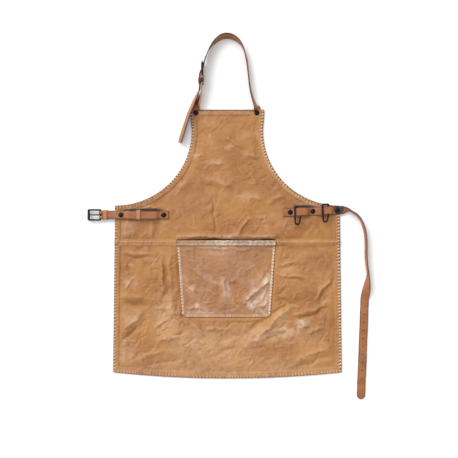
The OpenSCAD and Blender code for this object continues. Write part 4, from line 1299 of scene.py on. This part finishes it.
def layRightStrap():
    bulge = [(-22, 0), (-8, 0), (4, 0), (10, 1.6), (17, 7.2), (22, 8), (33, 8), (46, 8), (50.5, 7), (56, 1.6),
             (61, 0), (67, 0), (73, 0), (79, 1.8), (86, 7.2), (91, 8), (104, 8), (116, 8), (121, 7.2),
             (128, 1.6), (134, 0), (143, 0), (149, 0)]
    flat = np.array([[*onRightStrap(x), 5.2 + lift, 0] for x, lift in bulge])
    turned = [(345, 22.8, 4, 20), (356, 22.5, 1, 60), (368, 19.5, 0, 90), (378, 14, 0, 90), (386, 8.0, 0, 90),
              (397, -6, 0, 90), (405, -24, 0, 90), (411, -48, 0, 90), (413, -78, 0, 90), (413, -112, 0, 90),
              (415, -140, 0, 90), (419, -170, 0, 90), (417, -200, 0, 60), (413.5, -228, 0, 20),
              (411.5, -244, 0, 2), (411.2, -252, 0.4, 0)]
    lean = math.radians(2.2)
    top = np.array([411.2, -251.0])
    down = np.array([-math.sin(lean), -math.cos(lean)])
    ripple = [(30, 0.3), (70, 1.4), (120, 0.5), (175, 1.6), (230, 0.6), (270, 0.9), (293, 0.3)]
    straight = [(*(top + down * far), z, 0) for far, z in ripple]
    spine, across = routeFrames(np.concatenate([flat, turned, straight]), 2.4, 11)
    cutters = [roundBar((*onRightStrap(x), 8), (0, 0, 1), strap["holeRadius"], 30) for x in (0, 67, 140)]
    # a darker mark at the strap's end, and painted shade round each tail hole
    darkMarksAndShade = [(332, 25, 14, 17, 0.93)]
    for k in range(tailHoles["count"]):
        place = top + down * (ripple[-1][0] - tailHoles["fromTip"] - tailHoles["pitch"] * k)
        cutters.append(roundBar((*place, 2), (0, 0, 1), tailHoles["radius"], 12, 16))
        darkMarksAndShade.append((*place, tailHoles["ring"], tailHoles["ring"], 0.95))
    return makeStrap("rightWaistStrap", ["right_waist_strap", "waist_strap_tail"], spine, across, cutters,
                     ends=(0, 12), darkMarksAndShade=darkMarksAndShade)


rightWaistStrap = layRightStrap()

barX, barY, neckZ = -74.0, 421.0, 17.5
lowEdge = neckZ - strap["width"] / 2


def layNeckStraps():
    route = [
        (88, 300, 1.05, 0), (88, 312, 1.05, 0), (88, 320, 1.05, 0), (87.4, 325.5, 0.6, 28), (85.2, 331, 0, 56),
        (81, 341, 0, 68), (75.5, 356, 0, 73), (71, 372, 0, 77), (67, 392, 0, 80), (64, 416, 0, 82),
        (61.5, 440, 0, 82), (59, 460, 0, 79), (55.5, 480, 0, 79), (51, 497, 0, 82), (45, 511, 0, 87),
        (35, 525, 0, 95), (21, 535.5, 0, 104), (5, 541, 0, 109), (-13, 540, 0, 109), (-29, 531, 0.3, 101),
        (-43, 518, 1, 91), (-53.5, 502, 2, 83), (-61, 484, 3, 81), (-66.5, 469, lowEdge, 85),
        (-69.6, 456, lowEdge, 90), (-71.6, 448, lowEdge, 90),
        (-76, 437, lowEdge, 90), (-81.6, 423, lowEdge, 90), (-81.8, 404, lowEdge, 90),
        (-81.8, 387.5, lowEdge, 90), (-84, 377, 4.2, 84), (-90.5, 363, 1.6, 70), (-97, 350, 0.5, 64),
        (-103.5, 335, 0.4, 62),
        (-110.5, 318, 0.3, 62), (-117.5, 300, 0.3, 62), (-124, 280, 0.2, 61), (-130.5, 260, 0.2, 60),
        (-136, 242, 0.2, 60), (-141.5, 222.5, 0.2, 60)]
    spine, across = routeFrames(route, 2.4, 9)
    cutters = [roundBar((88, 313.5, 4), (0, 0, 1), strap["holeRadius"], 20),
               boxCutter((-92, 434.0, neckZ - 2.6), (-62, 449.0, neckZ + 2.6))]
    long = makeStrap("neckStrap", ["neck_strap", "neck_strap_foot", "neck_strap_tip"], spine, across,
                     cutters, ends=(0, 9), backTone=0.1)
    reach = strap["foldReach"]
    fold = [(barX + reach * math.cos(a), barY + reach * math.sin(a), lowEdge, 90)
            for a in np.radians([-60, -30, 0, 45, 90, 135, 180, 210, 240])]
    start = [(-72.6, 396, lowEdge, 90), (-72.4, 406, lowEdge, 90), (-71.4, 414, lowEdge, 90)]
    rest = [(-76.2, 412, lowEdge, 90), (-76.4, 402, lowEdge, 90), (-76.6, 386, lowEdge, 90),
            (-78, 371, 3.2, 84), (-82, 356, 0.6, 70), (-87.5, 344, 0.2, 52), (-91.5, 337, 0.5, 26),
            (-93.6, 331, 1.0, 5), (-94, 322, 1.05, 0), (-94, 311, 1.05, 0), (-94, 299, 1.05, 0)]
    spine, across = routeFrames(start + fold + rest, 1.8)
    cutters = [roundBar((-94, 313.5, 4), (0, 0, 1), strap["holeRadius"], 20),
               boxCutter((barX - 8, barY - 6, neckZ - 2.7), (barX + 8, barY + 9, neckZ + 2.7))]
    short = makeStrap("neckBuckleStrap", ["neck_buckle_strap", "neck_buckle_strap_foot"], spine, across,
                      cutters, rawEdge=True)
    return long, short


neckStrap, neckBuckleStrap = layNeckStraps()
print("straps are laid")


# keepers, buckles, hooks and rivets

def roundedRing(left, right, halfHeight, corner, count):
    # points round a rounded oblong, and the way out at each
    ring = []
    for centreX, centreY, first in ((right - corner, halfHeight - corner, 0),
                                    (left + corner, halfHeight - corner, 90),
                                    (left + corner, -halfHeight + corner, 180),
                                    (right - corner, -halfHeight + corner, 270)):
        for a in np.radians(np.linspace(first, first + 90, count)):
            ring.append((centreX + corner * math.cos(a), centreY + corner * math.sin(a),
                         math.cos(a), math.sin(a)))
    return np.array(ring)


loopSection = np.array([
    (-1, -0.5), (-0.95, -1), (-0.4, -1), (0.4, -1), (0.95, -1), (1, -0.5), (1, 0.5), (0.94, 0.95), (0.78, 1),
    (0.72, 0.8), (0.66, 1), (0, 1.1), (-0.66, 1), (-0.72, 0.8), (-0.78, 1), (-0.94, 0.95), (-1, 0.5)])


def loopSkin(innerWidth, innerHeight, wall, length, radius=2.2):
    # a band of leather round a strap that runs along x
    halfWidth, halfHeight = innerWidth / 2 + wall / 2, innerHeight / 2 + wall / 2
    path = roundedRing(-halfWidth, halfWidth, halfHeight, min(radius, halfHeight), 6)
    rings = [[(u * length / 2, y + outY * v * wall / 2, z + outZ * v * wall / 2) for u, v in loopSection]
             for y, z, outY, outZ in path]
    return *skin(rings, True), leatherMarks(loopSection, len(path), 0.7, 0.25)


def makeKeeper(name, node, centre, size, material, alongY=False):
    points, faces, places, marks = loopSkin(*size)
    if alongY:
        points = np.column_stack([points[:, 2], points[:, 0], points[:, 1]])
    piece = makeMesh(name, points + np.array(centre), faces, places, marks, material)
    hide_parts(node)
    return piece


buckleKeeper = makeKeeper("buckleKeeper", "buckle_keeper", (-364, buckleY, buckleZ),
                          (25.2, 6.9, 1.8, 12), keeperLeather)
slidingKeeper = makeKeeper("slidingKeeper", "sliding_keeper", (-264, buckleY, 14.7),
                           (25.4, 3.7, 1.6, 14), keeperLeather)
# the neck keeper's dark leather carries painted shade
neckKeeper = makeKeeper("neckKeeper", "neck_keeper", (-77.9, 405.5, neckZ), (25.6, 11.6, 1.8, 12),
                        darkLeatherAndShade, True)


buckle = {"end": -39, "barSide": 2, "halfWidth": 17.4, "corner": 4.5, "windowEnd": -32.0,
          "windowBarSide": -2, "windowHalfWidth": 12.6, "windowCorner": 1.6, "halfThick": 2.0}


def frameSkin():
    # a buckle frame lying flat, its pivot bar on the y axis
    outer = roundedRing(buckle["end"], buckle["barSide"], buckle["halfWidth"], buckle["corner"], 9)
    inner = roundedRing(buckle["windowEnd"], buckle["windowBarSide"], buckle["windowHalfWidth"],
                        buckle["windowCorner"], 9)
    low = -buckle["halfThick"]
    rings = []
    for (outX, outY), (inX, inY) in zip(outer[:, :2], inner[:, :2]):
        bar = ease(outX, -8, 0) if abs(outY) < 13 else 0.0
        bevel = 0.9 + 0.5 * bar
        reach = math.hypot(outX - inX, outY - inY)
        wayX, wayY = (inX - outX) / reach, (inY - outY) / reach
        under = [(0, low + bevel), (0.35 * bevel, low + 0.35 * bevel), (bevel, low), (reach - bevel, low),
                 (reach - 0.35 * bevel, low + 0.35 * bevel), (reach, low + bevel)]
        steps = under + [(far, -z) for far, z in under[::-1]]
        rings.append([(outX + wayX * far, outY + wayY * far, z) for far, z in steps])
    return skin(rings, True)


def prongSkin():
    radius = 2.95
    path = [(radius * math.cos(a), radius * math.sin(a)) for a in np.radians(np.arange(-205, 80, 15))]
    path += [(-0.6, 2.98), (-5, 3.1), (-14, 3.05), (-26, 2.95), (-34, 2.95), (-37.6, 2.8)]
    path = resample(smoothLine(path, 4), 0.8)
    heading = np.gradient(path, axis=0)
    heading /= np.linalg.norm(heading, axis=1)[:, None]
    section = [(-1, -0.5), (-0.8, -1), (0.8, -1), (1, -0.5), (1, 0.4), (0.7, 1), (-0.7, 1), (-1, 0.4)]
    rings = []
    for (x, z), (wayX, wayZ) in zip(path, heading):
        halfWidth = 2.0 - 0.5 * float(ease(x, -20, -37))
        rings.append([(x - wayZ * v * 0.82, u * halfWidth, z + wayX * v * 0.82) for u, v in section])
    return skin(rings)


def layAtWaist(points):
    return points + np.array([buckleX, buckleY, buckleZ])


def standAtNeck(points):
    # from lying flat to standing on edge, end bar up the strap and front to the left
    return np.column_stack([-points[:, 2] + barX, -points[:, 0] + barY, points[:, 1] + neckZ])


def makeMetal(name, nodes, points, faces, places):
    piece = makeMesh(name, points, faces, places, None, blackSteel)
    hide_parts(*nodes)
    return piece


buckles = {}
for where, lay in (("waist", layAtWaist), ("neck", standAtNeck)):
    for part, (points, faces, places) in (("Frame", frameSkin()), ("Prong", prongSkin())):
        buckles[where + part] = makeMetal(f"{where}Buckle{part}", [f"{where}_buckle_{part.lower()}"],
                                          lay(points), faces, places)

hook = {"front": 19.1, "back": 9.4, "top": 19.2, "legFoot": -8.0, "bowlY": -26.5, "bowl": 6.5,
        "wireRadius": 2.35, "endShares": (0.55, 0.9, 1)}


def makeHook(name, node, x, drop, arm):
    front, back, top, bowl = hook["front"], hook["back"], hook["top"], hook["bowl"]
    path = [(2 * bowl + 4, hook["bowlY"] + 17.5, front), (2 * bowl + 2, hook["bowlY"] + 9, front)]
    path += [(bowl + bowl * math.cos(a), hook["bowlY"] + bowl * math.sin(a), front)
             for a in np.radians(np.linspace(0, -180, 13))]
    path += [(0, -10, front), (0, 6, front), (0, top - 4, front), (0.6, top - 1.2, front - 0.2),
             (3, top, front - 1), (arm / 2, top, (front + back) / 2), (arm - 3, top, back + 1),
             (arm - 0.6, top - 1.2, back + 0.2), (arm, top - 4, back), (arm, 4, back),
             (arm, hook["legFoot"], back)]
    line = resample(smoothLine(path, 6), 1.3)
    heading = np.gradient(line, axis=0)
    heading /= np.linalg.norm(heading, axis=1)[:, None]
    turn = np.linspace(0, 2 * np.pi, 14, endpoint=False)[:, None]
    side = np.cross(heading[0], (0, 0, 1.0))
    rings = []
    for index, (centre, way) in enumerate(zip(line, heading)):
        side = side - (side @ way) * way
        side /= np.linalg.norm(side)
        up = np.cross(way, side)
        last = min(index, len(line) - 1 - index)
        radius = hook["wireRadius"] * hook["endShares"][min(last, 2)]
        rings.append(centre + radius * (np.cos(turn) * side + np.sin(turn) * up))
    rings = np.array(rings)
    turned = rings.copy()
    for k in range(2):
        turned[..., k] = rightWay[k] * (rings[..., 0] + x) + rightAcross[k] * (rings[..., 1] + drop)
        turned[..., k] += rightStart[k]
    return makeMetal(name, [node], *skin(turned))


leftHook = makeHook("leftToolHook", "left_tool_hook", 12, -4, 10)
rightHook = makeHook("rightToolHook", "right_tool_hook", 95, 0, 20)

capProfile = [(0.05, 3.0), (1.6, 2.95), (3.2, 2.76), (4.6, 2.42), (5.7, 2.0), (6.5, 1.5), (7.1, 1.05),
              (7.35, 0.86), (7.62, 0.8), (7.8, 0.6), (7.8, 0.3), (7.6, 0.08), (7.2, 0.02), (1.9, 0.0)]


def turnedSkin(profile, place, sides, ringShaped=False):
    x, y, z = place
    turn = np.linspace(0, 2 * np.pi, sides, endpoint=False)
    rings = np.array([[(x + r * math.cos(a), y + r * math.sin(a), z + h) for a in turn] for r, h in profile])
    return skin(rings.transpose(1, 0, 2), True) if ringShaped else skin(rings)


def makeRivets(name, nodes, places, lengths):
    caps, backs = [], []
    for place, length in zip(places, lengths):
        caps.append(turnedSkin(capProfile + [(1.9, -length)], place, 36))
        washer = [(1.96, -length + 0.75), (1.96, -length - 0.7), (4.2, -length - 0.75), (4.9, -length - 0.55),
                  (5.0, -length - 0.2), (4.9, -length + 0.45), (4.4, -length + 0.75)]
        backs.append(turnedSkin(washer, place, 32, True))
    return [makeMetal(name + "Caps", nodes[:1], *joined(caps)),
            makeMetal(name + "Backs", nodes[1:], *joined(backs))]


# each row's nodes, the places of its caps, and how far each shank reaches down
rivets = {
    "neckRivet": (["neck_rivet_caps", "neck_rivet_backs"], [(-94, 313.5, 5.3), (88, 313.5, 5.3)], [4.4, 4.4]),
    "leftWaistRivet": (["left_waist_rivet_caps", "left_waist_rivet_backs"],
                       [(-317, buckleY, 11.3), (-190, buckleY, 8.3)], [10.4, 7.4]),
    "rightWaistRivet": (["right_waist_rivet_caps", "right_waist_rivet_backs"],
                        [(*onRightStrap(x), 8.3) for x in (0, 67, 140)], [7.4, 7.4, 7.4]),
}
rivetPieces = [piece for name, facts in rivets.items() for piece in makeRivets(name, *facts)]
print("hardware is fitted")


# everything rides on its body

onApron = [bibPanel, skirtPanel, pocketPanel, pocketHem, *hems.values(), *stitching, leftWaistStrap,
           buckleKeeper, *rivetPieces]
riders = {"apron": onApron, "strap_keeper": [slidingKeeper], "neck_keeper": [neckKeeper],
          "buckle_frame": [buckles["waistFrame"]], "buckle_prong": [buckles["waistProng"]],
          "neck_loop": [buckles["neckFrame"], buckles["neckProng"]],
          "left_hook": [leftHook], "right_hook": [rightHook]}
for body, pieces in riders.items():
    for piece in pieces:
        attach(piece, body)
for piece in (neckStrap, neckBuckleStrap):
    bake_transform(piece)
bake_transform(rightWaistStrap)

print("pieces ride on their bodies")


# floor, light and camera

studio = {
    "floorSize": 9.0, "sunFrom": (-1.1, 1.1, 1.15), "sunSpread": 0.55, "sunPower": 2.15,
    "airFrom": (-0.57, 0.57, 0.59), "airLow": 0.52, "airHigh": 1.32,
    "cameraPlace": (0.005, -0.034, 1.527), "lens": 40, "sensorWidth": 36,
}


def makeStage():
    material, tree, shader = startMaterial("pale floor")
    place = addNode(tree, "TexCoord").outputs["Object"]
    spots = cloudy(tree, place, 6.0, 3.0)
    tree.links.new(mixColour(tree, spots, (0.87, 0.87, 0.88, 1), (0.89, 0.89, 0.895, 1)),
                   shader.inputs["Base Color"])
    shader.inputs["Roughness"].default_value = 0.9
    shader.inputs["Specular IOR Level"].default_value = 0.1
    reach = studio["floorSize"] / mm / 2
    corners = [(-reach, -reach, 0), (reach, -reach, 0), (reach, reach, 0), (-reach, reach, 0)]
    floor = makeMesh("studioFloor", corners, [[0, 1, 2, 3]], None, None, material)


def makeSun():
    sun = bpy.data.lights.new("sun", "SUN")
    sun.energy, sun.angle = studio["sunPower"], studio["sunSpread"]
    holder = bpy.data.objects.new("sun", sun)
    holder.location = studio["sunFrom"]
    holder.rotation_euler = holder.location.to_track_quat("Z", "Y").to_euler()
    bpy.context.scene.collection.objects.link(holder)


def makeAir():
    # a wide pale sky, brightest toward the upper left
    world = bpy.data.worlds.new("studio")
    world.use_nodes = True
    tree = world.node_tree
    way = addNode(tree, "TexCoord").outputs["Generated"]
    facing = addNode(tree, "VectorMath", {0: way, 1: studio["airFrom"]}, operation="DOT_PRODUCT")
    amount = between(tree, facing.outputs["Value"], -0.35, 1.0, studio["airLow"], studio["airHigh"])
    tree.links.new(amount, tree.nodes["Background"].inputs[1])
    tree.nodes["Background"].inputs[0].default_value = (1.0, 1.0, 1.0, 1)
    bpy.context.scene.world = world


makeStage()
makeSun()
makeAir()

camera = bpy.data.cameras.new("camera")
camera.lens, camera.sensor_width = studio["lens"], studio["sensorWidth"]
cameraObject = bpy.data.objects.new("camera", camera)
cameraObject.location = studio["cameraPlace"]
bpy.context.scene.collection.objects.link(cameraObject)
bpy.context.scene.camera = cameraObject
bpy.context.scene.view_settings.view_transform = "Standard"
print("studio is lit")
